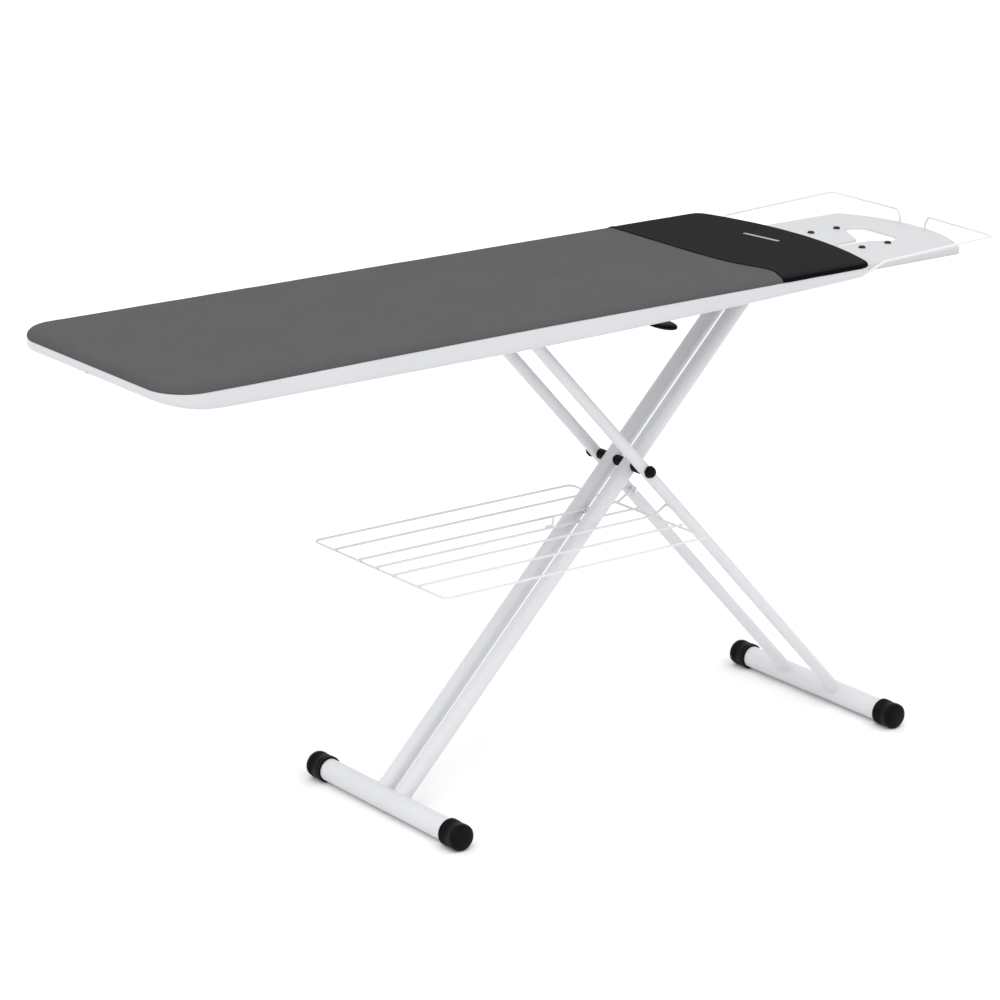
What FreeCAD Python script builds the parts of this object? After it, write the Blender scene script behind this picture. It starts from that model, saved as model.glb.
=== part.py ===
"""Free-standing ironing board with scissor legs, laundry rack and iron rest.

Frame: +X along the board towards the iron rest, -Y towards the person who irons,
+Z up.  The origin is on the floor under the middle of the whole outline.  Millimetres.
"""
import FreeCAD, Part
import math
import os

V = FreeCAD.Vector
os.makedirs("parts", exist_ok=True)

# ---------------------------------------------------------------- driving dimensions
# Board
BOARD_NOSE_X = -846.0          # plain end of the board
BOARD_TAIL_X = 565.0           # crown of the arched end, beside the iron rest
BOARD_HALF_WIDTH = 215.0
NOSE_CORNER_R = 60.0
TAIL_CORNER_R = 26.0
TAIL_ARCH_R = 580.0
BOARD_TOP_Z = 849.0
RIM_SHEET = 1.5
DECK_SHEET = 0.8
COVER_THICKNESS = 2.0
COVER_EDGE_R = 6.5
COVER_HEM_Z = 841.3            # where the covers meet the rim
COVER_SEAM_X = 330.0           # grey main cover meets the black end cover
PAD_INSET = 2.5
DECK_TOP_Z = 831.0
RIM_TOP_Z = 841.0
RIM_LOW_Z = 807.0
RIM_NOSE_LOW_Z = 820.0
RIM_TAIL_LOW_Z = 826.0
LEDGE_WIDTH = 12.0

# Legs
PIVOT_X = 184.0
PIVOT_Z = 513.0
FOOT_Z = 22.0                  # axis of both foot bars
FOOT_SPREAD = 471.0            # from the pivot to either foot bar, along X
HINGE_Z = 811.0                # leg hinges under the board
INNER_LEG_R = 14.0
INNER_LEG_Y = 22.0
OUTER_LEG_R = 10.0
OUTER_LEG_Y = 62.2
LEG_WALL = 1.2
LEG_OVERRUN = 8.0              # tube beyond its hinge axis
FOOT_BAR_R = 19.0
LEFT_BAR_HALF = 197.0
RIGHT_BAR_HALF = 203.0
CAP_R = 22.4                   # a little over FOOT_Z, which leaves each cap a flat sole
CAP_LENGTH = 41.0
CAP_END_WALL = 4.0

# Pins and bushes
HINGE_AXLE_R = 5.0
PIVOT_AXLE_R = 4.0
RUNNING_GAP = 0.05
BUSH_WALL = 2.0
SPRING_WIRE_R = 0.8
SPRING_PITCH = 1.7

# Slide, lock and lever
RAIL_START_X = -382.0
RAIL_END_X = 0.0
RAIL_INNER_Y = 79.0
RAIL_OUTER_Y = 95.0
RAIL_HALF_HEIGHT = 10.0
RAIL_SHEET = 1.5
SHOE_HALF_LENGTH = 20.0
SHOE_GAP = 0.3
STOP_COUNT = 9
STOP_PITCH = 32.0
PAWL_REACH = 30.0              # slide axle to pawl tooth
LEVER_X = 120.0
ROD_Y = -45.0
ROD_Z = 799.0
ROD_R = 3.0
LEVER_TIP_Y = -200.0
PADDLE_HALF_LENGTH = 40.0
PADDLE_HALF_WIDTH = 19.0

# Laundry rack
RACK_Z = 420.0
RACK_LEFT_X = -314.0
RACK_RIGHT_X = 224.0
RACK_HALF_WIDTH = 174.0
RACK_WIRE_Y = (-110.0, 0.0, 110.0)
HOOK_WIRE_Y = (-46.0, 46.0)
WIRE_R = 2.0
RACK_BEND_R = 12.0
HINGE_DROP = 18.0              # rack plane below its hinge studs
STUD_R = 2.5
REST_PIN_R = 3.0

# Iron rest
REST_START_X = 530.0           # tucked under the arched end of the board
REST_END_X = 846.0
REST_HALF_WIDTH = 152.0
REST_END_R = 253.0
REST_CORNER_R = 15.0
REST_TOP_Z = 825.4
REST_SHEET = 1.2
REST_FLANGE = 12.0
GUARD_X = 829.0
GUARD_Z = 850.0
GUARD_HALF_WIDTH = 198.0
GUARD_TAIL_Y = 186.0
NOTCH_HALF_WIDTH = 31.0
BUMPER_X = (651.0, 711.0)
BUMPER_Y = 63.0

# ---------------------------------------------------------------- worked-out values
DECK_LOW_Z = DECK_TOP_Z - DECK_SHEET
TOP_SPREAD = FOOT_SPREAD * (HINGE_Z - PIVOT_Z) / (PIVOT_Z - FOOT_Z)
LEG_HINGE_X = PIVOT_X + TOP_SPREAD
SLIDE_X = PIVOT_X - TOP_SPREAD
RACK_HINGE_Z = RACK_Z + HINGE_DROP
RACK_HINGE_DX = TOP_SPREAD * (PIVOT_Z - RACK_HINGE_Z) / (HINGE_Z - PIVOT_Z)
LEG_ANGLE = math.degrees(math.atan2(HINGE_Z - PIVOT_Z, TOP_SPREAD))
Y_AXIS = V(0, 1, 0)


# ---------------------------------------------------------------- shared shapes
def box(x0, x1, y0, y1, z0, z1):
    return Part.makeBox(x1 - x0, y1 - y0, z1 - z0, V(x0, y0, z0))


def rod(start, end, radius):
    along = end - start
    return Part.makeCylinder(radius, along.Length, start, along)


def cross_rod(x, z, y0, y1, radius):
    return Part.makeCylinder(radius, y1 - y0, V(x, y0, z), Y_AXIS)


def fused(shapes):
    return shapes[0].multiFuse(shapes[1:]).removeSplitter()


def both_sides(shape):
    """The shape and its mirror image across the board's middle plane."""
    return Part.makeCompound([shape, shape.mirror(V(0, 0, 0), Y_AXIS)])


def export(name, shape):
    shape.exportStep("parts/" + name + ".step")


def bent_wire(points, radius, bend_radius):
    """A round wire through straight runs joined by tangent arcs."""
    edges = []
    start = points[0]
    for before, corner, after in zip(points, points[1:], points[2:]):
        back = (before - corner).normalize()
        ahead = (after - corner).normalize()
        half_turn = (math.pi - back.getAngle(ahead)) / 2
        trim = bend_radius * math.tan(half_turn)
        inward = (back + ahead).normalize()
        middle = corner + inward * (bend_radius / math.cos(half_turn) - bend_radius)
        arc_start = corner + back * trim
        arc_end = corner + ahead * trim
        edges.append(Part.LineSegment(start, arc_start).toShape())
        edges.append(Part.Arc(arc_start, middle, arc_end).toShape())
        start = arc_end
    edges.append(Part.LineSegment(start, points[-1]).toShape())
    path = Part.Wire(edges)
    profile = Part.Wire(Part.Circle(points[0], points[1] - points[0], radius).toShape())
    return path.makePipeShell([profile], True, False)


def board_slab(inset, z0, z1, top_radius=0.0):
    """The board's outline, drawn in by inset, as a plate from z0 to z1."""
    half = BOARD_HALF_WIDTH - inset
    plate = box(BOARD_NOSE_X + inset, BOARD_TAIL_X - inset, -half, half, z0, z1)
    arch = Part.makeCylinder(TAIL_ARCH_R - inset, z1 - z0, V(BOARD_TAIL_X - TAIL_ARCH_R, 0, z0))
    arch = arch.fuse(box(BOARD_NOSE_X, BOARD_TAIL_X - TAIL_ARCH_R, -half, half, z0, z1))
    plate = plate.common(arch).removeSplitter()
    upright = [e for e in plate.Edges if abs(e.tangentAt(e.FirstParameter).z) > 0.99]
    nose = [e for e in upright if e.CenterOfMass.x < 0]
    tail = [e for e in upright if e.CenterOfMass.x > 0 and abs(e.CenterOfMass.y) > half - 1]
    plate = plate.makeFillet(NOSE_CORNER_R - inset, nose)
    tail = [e for e in plate.Edges if any(e.CenterOfMass.distanceToPoint(t.CenterOfMass) < 0.01 for t in tail)]
    plate = plate.makeFillet(TAIL_CORNER_R - inset, tail)
    if top_radius:
        crown = [e for e in plate.Edges if abs(e.CenterOfMass.z - z1) < 0.001]
        plate = plate.makeFillet(top_radius, crown)
    return plate


# ---------------------------------------------------------------- board
def rim_cutter():
    """Everything below the rim's lower edge, which sweeps up at both ends."""
    nose_x = BOARD_NOSE_X - 14
    nose_flat_x = nose_x + 120
    tail_flat_x = -300.0
    tail_x = BOARD_TAIL_X - 35
    past_tail = V(BOARD_TAIL_X + 20, 0, RIM_TAIL_LOW_Z)
    below = RIM_LOW_Z - 60

    def sweep_up(flat_x, end_x, end_z):
        """An arc tangent to the flat stretch, as its two outer points."""
        run = end_x - flat_x
        rise = end_z - RIM_LOW_Z
        radius = (run * run + rise * rise) / (2 * rise)
        middle_rise = radius - math.sqrt(radius * radius - run * run / 4)
        return V(flat_x + run / 2, 0, RIM_LOW_Z + middle_rise), V(end_x, 0, end_z)

    nose_middle, nose_end = sweep_up(nose_flat_x, nose_x, RIM_NOSE_LOW_Z)
    tail_middle, tail_end = sweep_up(tail_flat_x, tail_x, RIM_TAIL_LOW_Z)
    nose_flat = V(nose_flat_x, 0, RIM_LOW_Z)
    tail_flat = V(tail_flat_x, 0, RIM_LOW_Z)
    nose_foot = V(nose_x, 0, below)
    tail_foot = V(past_tail.x, 0, below)
    outline = Part.Wire([
        Part.Arc(nose_end, nose_middle, nose_flat).toShape(),
        Part.LineSegment(nose_flat, tail_flat).toShape(),
        Part.Arc(tail_flat, tail_middle, tail_end).toShape(),
        Part.LineSegment(tail_end, past_tail).toShape(),
        Part.LineSegment(past_tail, tail_foot).toShape(),
        Part.LineSegment(tail_foot, nose_foot).toShape(),
        Part.LineSegment(nose_foot, nose_end).toShape(),
    ])
    face = Part.Face(outline)
    width = 2 * BOARD_HALF_WIDTH + 20
    face.translate(V(0, -width / 2, 0))
    return face.extrude(V(0, width, 0))


def rim():
    band = board_slab(0, RIM_LOW_Z, RIM_TOP_Z).cut(board_slab(RIM_SHEET, RIM_LOW_Z - 1, RIM_TOP_Z + 1))
    ledge_low_z = DECK_LOW_Z - RIM_SHEET
    ledge = board_slab(RIM_SHEET / 2, ledge_low_z, DECK_LOW_Z)
    ledge = ledge.cut(board_slab(RIM_SHEET + LEDGE_WIDTH, ledge_low_z - 1, DECK_LOW_Z + 1))
    return band.fuse(ledge).removeSplitter().cut(rim_cutter())


def deck():
    """Expanded-metal deck: staggered rows of diamond holes, open to steam."""
    half_length, half_width, pitch_x, pitch_y, margin = 17.0, 6.5, 40.0, 17.0, 32.0
    plate = board_slab(RIM_SHEET + 0.2, DECK_LOW_Z, DECK_TOP_Z)
    sole = min(plate.Faces, key=lambda face: face.CenterOfMass.z)
    wires = [sole.OuterWire]
    rows = int((BOARD_HALF_WIDTH - margin) / pitch_y)
    for row in range(-rows, rows + 1):
        y = row * pitch_y
        x = BOARD_NOSE_X + margin + half_length + (row % 2) * pitch_x / 2
        while x + half_length < BOARD_TAIL_X - margin - y * y / (2 * TAIL_ARCH_R):
            corners = [V(x - half_length, y, DECK_LOW_Z), V(x, y - half_width, DECK_LOW_Z),
                       V(x + half_length, y, DECK_LOW_Z), V(x, y + half_width, DECK_LOW_Z)]
            wires.append(Part.makePolygon(corners + corners[:1]))
            x += pitch_x
    return Part.makeFace(wires, "Part::FaceMakerBullseye").extrude(V(0, 0, DECK_SHEET))


def foam_pad():
    top = BOARD_TOP_Z - COVER_THICKNESS - 0.3
    return board_slab(PAD_INSET, DECK_TOP_Z, top, COVER_EDGE_R - COVER_THICKNESS)


def cover(x0, x1):
    """One stretch of the fabric cover, from its rounded top down to its hem."""
    outside = board_slab(0.3, COVER_HEM_Z, BOARD_TOP_Z, COVER_EDGE_R)
    inside = board_slab(0.3 + COVER_THICKNESS, COVER_HEM_Z - 1, BOARD_TOP_Z - COVER_THICKNESS,
                        COVER_EDGE_R - COVER_THICKNESS)
    stretch = box(x0, x1, -BOARD_HALF_WIDTH, BOARD_HALF_WIDTH, COVER_HEM_Z - 5, BOARD_TOP_Z + 5)
    return outside.cut(inside).common(stretch)


def stiffener():
    """Hat-section channel along one side of the deck."""
    half, height, wall = 8.0, 12.0, 0.8
    middle = 150.0
    outside = box(-776, 484, middle - half, middle + half, DECK_LOW_Z - height, DECK_LOW_Z)
    hollow = box(-777, 485, middle - half + wall, middle + half - wall,
                 DECK_LOW_Z - height + wall, DECK_LOW_Z + 1)
    return outside.cut(hollow)


def slide_rail():
    """Channel open towards the middle of the board, with a lip welded to the deck."""
    low = HINGE_Z - RAIL_HALF_HEIGHT
    high = HINGE_Z + RAIL_HALF_HEIGHT
    web = box(RAIL_START_X, RAIL_END_X, RAIL_OUTER_Y, RAIL_OUTER_Y + RAIL_SHEET, low - RAIL_SHEET, DECK_LOW_Z)
    floor = box(RAIL_START_X, RAIL_END_X, RAIL_INNER_Y, RAIL_OUTER_Y, low - RAIL_SHEET, low)
    roof = box(RAIL_START_X, RAIL_END_X, RAIL_INNER_Y, RAIL_OUTER_Y, high, high + RAIL_SHEET)
    lip = box(RAIL_START_X, RAIL_END_X, RAIL_INNER_Y, RAIL_OUTER_Y, DECK_LOW_Z - RAIL_SHEET, DECK_LOW_Z)
    stop_left = box(RAIL_START_X, RAIL_START_X + RAIL_SHEET, RAIL_INNER_Y, RAIL_OUTER_Y, low, high)
    stop_right = box(RAIL_END_X - RAIL_SHEET, RAIL_END_X, RAIL_INNER_Y, RAIL_OUTER_Y, low, high)
    return fused([web, floor, roof, lip, stop_left, stop_right])


def height_ratchet():
    """Strip under the middle of the deck, with a notch for each working height."""
    low = HINGE_Z + 7.5
    strip = box(-350, 30, -1.5, 1.5, low, DECK_LOW_Z)
    rest_tooth_x = SLIDE_X + PAWL_REACH
    notches = []
    for stop in range(STOP_COUNT):
        x = rest_tooth_x + (2 - stop) * STOP_PITCH
        notches.append(box(x - 4, x + 4, -2, 2, low - 1, low + 5.5))
    return strip.cut(Part.makeCompound(notches))


def leg_bracket():
    """Folded bracket whose two ears carry the inner legs' top axle."""
    ear_inner, ear_sheet, half, depth = 38.0, 3.0, 22.0, 12.0
    base = box(LEG_HINGE_X - half, LEG_HINGE_X + half, -ear_inner - ear_sheet, ear_inner + ear_sheet,
               DECK_LOW_Z - 1.5, DECK_LOW_Z)
    ears = []
    for y0 in (-ear_inner - ear_sheet, ear_inner):
        ear = box(LEG_HINGE_X - half, LEG_HINGE_X + half, y0, y0 + ear_sheet, HINGE_Z, DECK_LOW_Z)
        ears.append(ear.fuse(cross_rod(LEG_HINGE_X, HINGE_Z, y0, y0 + ear_sheet, depth)))
    bracket = fused([base] + ears)
    return bracket.cut(cross_rod(LEG_HINGE_X, HINGE_Z, -60, 60, HINGE_AXLE_R))


def leg_hinge_axle():
    shaft = cross_rod(LEG_HINGE_X, HINGE_Z, -44, 44, HINGE_AXLE_R)
    heads = [cross_rod(LEG_HINGE_X, HINGE_Z, y, y + 3, 8) for y in (-44, 41)]
    return fused([shaft] + heads)


def nose_rivets():
    """Two rivets that close the rim's joint at the plain end."""
    heads = []
    for y in (28, 8):
        heads.append(Part.makeCylinder(2.4, 1.0, V(BOARD_NOSE_X, y, 824.0), V(-1, 0, 0)))
    return Part.makeCompound(heads)


# ---------------------------------------------------------------- legs
def leg_line(side):
    """Foot end, pivot and top hinge of a leg; side is -1 for the inner legs."""
    foot = V(PIVOT_X + side * FOOT_SPREAD, 0, FOOT_Z)
    top = V(PIVOT_X - side * TOP_SPREAD, 0, HINGE_Z)
    return foot, top


def leg(side, y, radius, pivot_hole, top_hole):
    """One straight tube, coped to the foot bar and drilled for its pins."""
    foot, top = leg_line(side)
    across = V(0, y, 0)
    along = (top - foot).normalize()
    end = top + along * LEG_OVERRUN
    tube = rod(foot + across, end + across, radius).cut(rod(foot + across - along, end + across + along, radius - LEG_WALL))
    tube = tube.cut(cross_rod(foot.x, foot.z, -LEFT_BAR_HALF, LEFT_BAR_HALF, FOOT_BAR_R))
    pivot = cross_rod(PIVOT_X, PIVOT_Z, y - 2 * radius, y + 2 * radius, pivot_hole)
    hinge = cross_rod(top.x, top.z, y - 2 * radius, y + 2 * radius, top_hole)
    tube = tube.cut(pivot).cut(hinge)
    # Coping can leave a loose crumb inside the foot bar; the leg is the largest solid.
    return max(tube.Solids, key=lambda solid: solid.Volume)


def foot_bar(x, half):
    outside = cross_rod(x, FOOT_Z, -half, half, FOOT_BAR_R)
    return outside.cut(cross_rod(x, FOOT_Z, -half - 1, half + 1, FOOT_BAR_R - LEG_WALL))


def foot_cap(x, half, side):
    """Moulded cap pushed over one end of a foot bar."""
    end = half + CAP_END_WALL
    outside = cross_rod(x, FOOT_Z, end - CAP_LENGTH, end, CAP_R)
    rims = [e for e in outside.Edges if e.Closed and abs(e.CenterOfMass.y - end) < 0.01]
    outside = outside.makeFillet(3.0, rims)
    cap = outside.cut(cross_rod(x, FOOT_Z, end - CAP_LENGTH - 1, half, FOOT_BAR_R))
    cap = cap.cut(box(x - CAP_R, x + CAP_R, end - CAP_LENGTH - 1, end + 1, FOOT_Z - CAP_R - 1, 0))
    return cap if side > 0 else cap.mirror(V(0, 0, 0), Y_AXIS)


def bush(x, z, y, leg_radius, axle_radius):
    """Plastic sleeve through a leg tube, on which the leg turns."""
    y0, y1 = y - leg_radius, y + leg_radius
    sleeve = cross_rod(x, z, y0, y1, axle_radius + RUNNING_GAP + BUSH_WALL)
    return sleeve.cut(cross_rod(x, z, y0 - 1, y1 + 1, axle_radius + RUNNING_GAP))


def leg_solid(side, y, radius):
    foot, top = leg_line(side)
    return rod(foot + V(0, y, 0), top + V(0, y, 0), radius)


def pivot_axle():
    return cross_rod(PIVOT_X, PIVOT_Z, -81, 81, PIVOT_AXLE_R)


def pivot_spacer():
    """Collar that keeps an inner leg and an outer leg apart."""
    collar = cross_rod(PIVOT_X, PIVOT_Z, 30, OUTER_LEG_Y - OUTER_LEG_R - 0.3, 9)
    collar = collar.cut(cross_rod(PIVOT_X, PIVOT_Z, 20, 60, PIVOT_AXLE_R))
    collar = collar.cut(leg_solid(-1, INNER_LEG_Y, INNER_LEG_R))
    return max(collar.Solids, key=lambda solid: solid.Volume)


def centre_spacer():
    spacer = cross_rod(PIVOT_X, PIVOT_Z, -15, 15, 9)
    spacer = spacer.cut(cross_rod(PIVOT_X, PIVOT_Z, -16, 16, PIVOT_AXLE_R))
    for y in (-INNER_LEG_Y, INNER_LEG_Y):
        spacer = spacer.cut(leg_solid(-1, y, INNER_LEG_R))
    return max(spacer.Solids, key=lambda solid: solid.Volume)


def pivot_end_cap():
    start = OUTER_LEG_Y + OUTER_LEG_R + 0.3
    cap = cross_rod(PIVOT_X, PIVOT_Z, start, start + 11, 10.5)
    rims = [e for e in cap.Edges if e.Closed and abs(e.CenterOfMass.y - start - 11) < 0.01]
    cap = cap.makeFillet(4.0, rims)
    return cap.cut(cross_rod(PIVOT_X, PIVOT_Z, start - 1, 81, PIVOT_AXLE_R))


def rack_rest_pin():
    """Pin across the inner legs that the rack's hanger lies on."""
    pin = cross_rod(PIVOT_X - RACK_HINGE_DX, RACK_HINGE_Z, -13, 13, REST_PIN_R)
    for y in (-INNER_LEG_Y, INNER_LEG_Y):
        pin = pin.cut(leg_solid(-1, y, INNER_LEG_R))
    return max(pin.Solids, key=lambda solid: solid.Volume)


def rack_stud():
    """Headed stud on an outer leg that the rack's hook turns on."""
    x, z = PIVOT_X + RACK_HINGE_DX, RACK_HINGE_Z
    stud = cross_rod(x, z, 42, OUTER_LEG_Y - 8, STUD_R).fuse(cross_rod(x, z, 42, 43.6, 4))
    return stud.cut(leg_solid(1, OUTER_LEG_Y, OUTER_LEG_R))


# ---------------------------------------------------------------- slide and lock
def slide_axle():
    return cross_rod(SLIDE_X, HINGE_Z, -93, 93, PIVOT_AXLE_R)


def slide_shoe():
    height = RAIL_HALF_HEIGHT - SHOE_GAP
    shoe = box(SLIDE_X - SHOE_HALF_LENGTH, SLIDE_X + SHOE_HALF_LENGTH,
               RAIL_INNER_Y - 2, RAIL_OUTER_Y - SHOE_GAP, HINGE_Z - height, HINGE_Z + height)
    upright = [e for e in shoe.Edges if abs(e.tangentAt(e.FirstParameter).y) > 0.99]
    shoe = shoe.makeFillet(5.0, upright)
    return shoe.cut(cross_rod(SLIDE_X, HINGE_Z, 70, 93, PIVOT_AXLE_R))


def lock_pawl():
    """Swinging plate with a tooth under the ratchet and a release pin below.

    It is made swung clear of the ratchet, so that the legs fold without being unlocked.
    """
    x, z, half = SLIDE_X, HINGE_Z, 2.0
    hub = cross_rod(x, z, -half - 1, half + 1, 6)
    arm = box(x, x + PAWL_REACH + 4, -half, half, z - 5, z + 4)
    tooth = box(x + PAWL_REACH - 2.4, x + PAWL_REACH + 2.4, -half, half, z, z + 7)
    tail = box(x + PAWL_REACH - 4, x + PAWL_REACH + 4, -half, half, z - 15, z)
    pin = cross_rod(x + PAWL_REACH, z - 12, -12, 0, 2)
    pawl = fused([hub, arm, tooth, tail, pin])
    return pawl.cut(cross_rod(x, z, -10, 10, PIVOT_AXLE_R + RUNNING_GAP))


def pawl_spring():
    """Torsion spring round the slide axle, beside the pawl's hub."""
    coils = []
    for turn in range(4):
        middle = V(SLIDE_X, 4.2 + SPRING_PITCH * turn, HINGE_Z)
        coils.append(Part.makeTorus(5.0, SPRING_WIRE_R, middle, Y_AXIS))
    return Part.makeCompound(coils)


def release_rod():
    return rod(V(-374, ROD_Y, ROD_Z), V(154, ROD_Y, ROD_Z), ROD_R)


def release_blade():
    """Strip along the rod that presses the pawl's pin at every height."""
    blade = box(-345, 20, ROD_Y, -5.0, ROD_Z + 2.3, ROD_Z + 3.5)
    return blade.cut(rod(V(-374, ROD_Y, ROD_Z), V(154, ROD_Y, ROD_Z), ROD_R))


def rod_clips():
    """Hanging clips in which the release rod turns."""
    clips = []
    for x0 in (-369.0, 36.0, 90.0):
        ear = box(x0, x0 + 6, ROD_Y - 4.5, ROD_Y + 4.5, ROD_Z, DECK_LOW_Z)
        ear = ear.fuse(rod(V(x0, ROD_Y, ROD_Z), V(x0 + 6, ROD_Y, ROD_Z), 6))
        bore = rod(V(x0 - 1, ROD_Y, ROD_Z), V(x0 + 7, ROD_Y, ROD_Z), ROD_R + RUNNING_GAP)
        clips.append(ear.cut(bore))
    return Part.makeCompound(clips)


def release_lever():
    """Hand lever: hub on the rod, arm and a leaf-shaped paddle by the board's edge."""
    low, thickness = ROD_Z - 11, 9.0
    middle_y = LEVER_TIP_Y + PADDLE_HALF_LENGTH
    hub = rod(V(LEVER_X - 12, ROD_Y, ROD_Z), V(LEVER_X + 12, ROD_Y, ROD_Z), 8)
    arm = box(LEVER_X - 9, LEVER_X + 9, middle_y, ROD_Y, ROD_Z - 7, ROD_Z + 1)
    side_r = (PADDLE_HALF_LENGTH ** 2 + PADDLE_HALF_WIDTH ** 2) / (2 * PADDLE_HALF_WIDTH)
    set_off = side_r - PADDLE_HALF_WIDTH
    left_side = Part.makeCylinder(side_r, thickness, V(LEVER_X + set_off, middle_y, low))
    right_side = Part.makeCylinder(side_r, thickness, V(LEVER_X - set_off, middle_y, low))
    paddle = left_side.common(right_side)
    tips = [e for e in paddle.Edges if abs(e.tangentAt(e.FirstParameter).z) > 0.99]
    paddle = paddle.makeFillet(9.0, tips)
    lever = fused([hub, arm, paddle])
    return lever.cut(rod(V(LEVER_X - 20, ROD_Y, ROD_Z), V(LEVER_X + 20, ROD_Y, ROD_Z), ROD_R))


def lever_spring():
    """Torsion spring round the release rod, beside the lever's hub."""
    coils = []
    for turn in range(5):
        middle = V(LEVER_X + 16 + SPRING_PITCH * turn, ROD_Y, ROD_Z)
        coils.append(Part.makeTorus(4.6, SPRING_WIRE_R, middle, V(1, 0, 0)))
    return Part.makeCompound(coils)


# ---------------------------------------------------------------- laundry rack
def rack_end_bar(x, side):
    """End bar of the rack with its two bends; side is -1 at the plain end."""
    inner_x = x - side * (RACK_BEND_R + 6)
    half = RACK_HALF_WIDTH
    points = [V(inner_x, half, RACK_Z), V(x, half, RACK_Z), V(x, -half, RACK_Z), V(inner_x, -half, RACK_Z)]
    return bent_wire(points, WIRE_R, RACK_BEND_R)


def rack_side_wire(side):
    y = side * RACK_HALF_WIDTH
    gap = RACK_BEND_R + 6
    return rod(V(RACK_LEFT_X + gap, y, RACK_Z), V(RACK_RIGHT_X - gap, y, RACK_Z), WIRE_R)


def rack_wires():
    """Plain lengthwise wires, welded on top of the two end bars."""
    z = RACK_Z + 2 * WIRE_R
    return Part.makeCompound([rod(V(RACK_LEFT_X - 5, y, z), V(RACK_RIGHT_X + 4, y, z), WIRE_R) for y in RACK_WIRE_Y])


def rack_hook_wire(y):
    """Lengthwise wire whose end rises and closes into an eye round its stud."""
    z = RACK_Z + 2 * WIRE_R
    eye_x, eye_z = PIVOT_X + RACK_HINGE_DX, RACK_HINGE_Z
    eye_mean_r = STUD_R + 0.1 + WIRE_R
    bend_x = eye_x - 34
    wire = bent_wire([V(RACK_LEFT_X - 5, y, z), V(bend_x, y, z), V(eye_x - 3, y, eye_z + eye_mean_r)], WIRE_R, 14)
    eye = Part.makeTorus(eye_mean_r, WIRE_R, V(eye_x, y, eye_z), Y_AXIS)
    hook = wire.fuse(eye).cut(cross_rod(eye_x, eye_z, y - 5, y + 5, STUD_R + 0.08))
    return max(hook.Solids, key=lambda solid: solid.Volume)


def rack_hanger():
    """Low loop on the middle wire that lies over the pin between the inner legs."""
    z = RACK_Z + 4 * WIRE_R
    top = RACK_HINGE_Z + REST_PIN_R + WIRE_R + 0.1
    stud_x = PIVOT_X + RACK_HINGE_DX
    right = stud_x - 121.4
    left = stud_x - 212.8
    points = [V(left - 16, 0, z), V(left, 0, z), V(left, 0, top), V(right, 0, top), V(right, 0, z), V(right + 16, 0, z)]
    return bent_wire(points, WIRE_R, 4.5)


# ---------------------------------------------------------------- iron rest
def rest_outline(inset, z0, z1):
    """Plan shape of the iron rest: straight sides and a bowed free end."""
    half = REST_HALF_WIDTH - inset
    plate = box(REST_START_X + inset, REST_END_X, -half, half, z0, z1)
    bow = Part.makeCylinder(REST_END_R - inset, z1 - z0, V(REST_END_X - REST_END_R, 0, z0))
    plate = plate.common(bow.fuse(box(REST_START_X, REST_END_X - REST_END_R + 200, -half, half, z0, z1)))
    plate = plate.removeSplitter()
    upright = [e for e in plate.Edges if abs(e.tangentAt(e.FirstParameter).z) > 0.99]
    free_end = [e for e in upright if e.CenterOfMass.x > REST_START_X + 100]
    return plate.makeFillet(REST_CORNER_R - inset, free_end)


def iron_rest_plate():
    """Pressed tray turned down all round, with a tongued window in the middle."""
    low = REST_TOP_Z - REST_FLANGE
    outside = rest_outline(0, low, REST_TOP_Z)
    crown = [e for e in outside.Edges if abs(e.CenterOfMass.z - REST_TOP_Z) < 0.001]
    outside = outside.makeFillet(3.0, crown)
    tray = outside.cut(rest_outline(REST_SHEET, low - 1, REST_TOP_Z - REST_SHEET))
    window = box(629, 759, -50, 50, low, REST_TOP_Z + 1)
    corners = [e for e in window.Edges if abs(e.tangentAt(e.FirstParameter).z) > 0.99]
    window = window.makeFillet(25, corners)
    tongue = box(620, 677, -22, 22, low, REST_TOP_Z + 1).fuse(Part.makeCylinder(22, REST_FLANGE + 1, V(677, 0, low)))
    tray = tray.cut(window.cut(tongue))
    for y in (-NOTCH_HALF_WIDTH, NOTCH_HALF_WIDTH):
        tray = tray.cut(Part.makeCylinder(WIRE_R + 0.8, 40, V(GUARD_X + 2, y, low)))
    arm_slot = box(REST_START_X - 1, REST_START_X + 5, 92, 118, low - 1, REST_TOP_Z - REST_SHEET)
    return tray.cut(both_sides(arm_slot))


def iron_rest_bumpers():
    domes = []
    for x in BUMPER_X:
        for y in (-BUMPER_Y, BUMPER_Y):
            base = Part.makeCylinder(6.0, 3.5, V(x, y, REST_TOP_Z))
            rims = [e for e in base.Edges if e.Closed and e.CenterOfMass.z > REST_TOP_Z + 1]
            domes.append(base.makeFillet(2.5, rims))
    return Part.makeCompound(domes)


def iron_rest_arm():
    """Square-tube arm from under the deck to under the iron rest."""
    low, high = REST_TOP_Z - REST_SHEET - 10, REST_TOP_Z - REST_SHEET
    outside = box(370, 760, 95, 115, low, high)
    return outside.cut(box(369, 761, 96.2, 113.8, low + 1.2, high - 1.2))


def iron_rest_spacers():
    high = REST_TOP_Z - REST_SHEET
    blocks = [box(x, x + 26, 95, 115, high, DECK_LOW_Z) for x in (376, 500)]
    return both_sides(Part.makeCompound(blocks))


def iron_rest_screws():
    """Screw heads under the two arms."""
    low = REST_TOP_Z - REST_SHEET - 10
    heads = []
    for x in (389.0, 513.0, 620.0, 735.0):
        for y in (-105.0, 105.0):
            heads.append(Part.makeCylinder(4.5, 2.5, V(x, y, low - 2.5)))
    return Part.makeCompound(heads)


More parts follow.
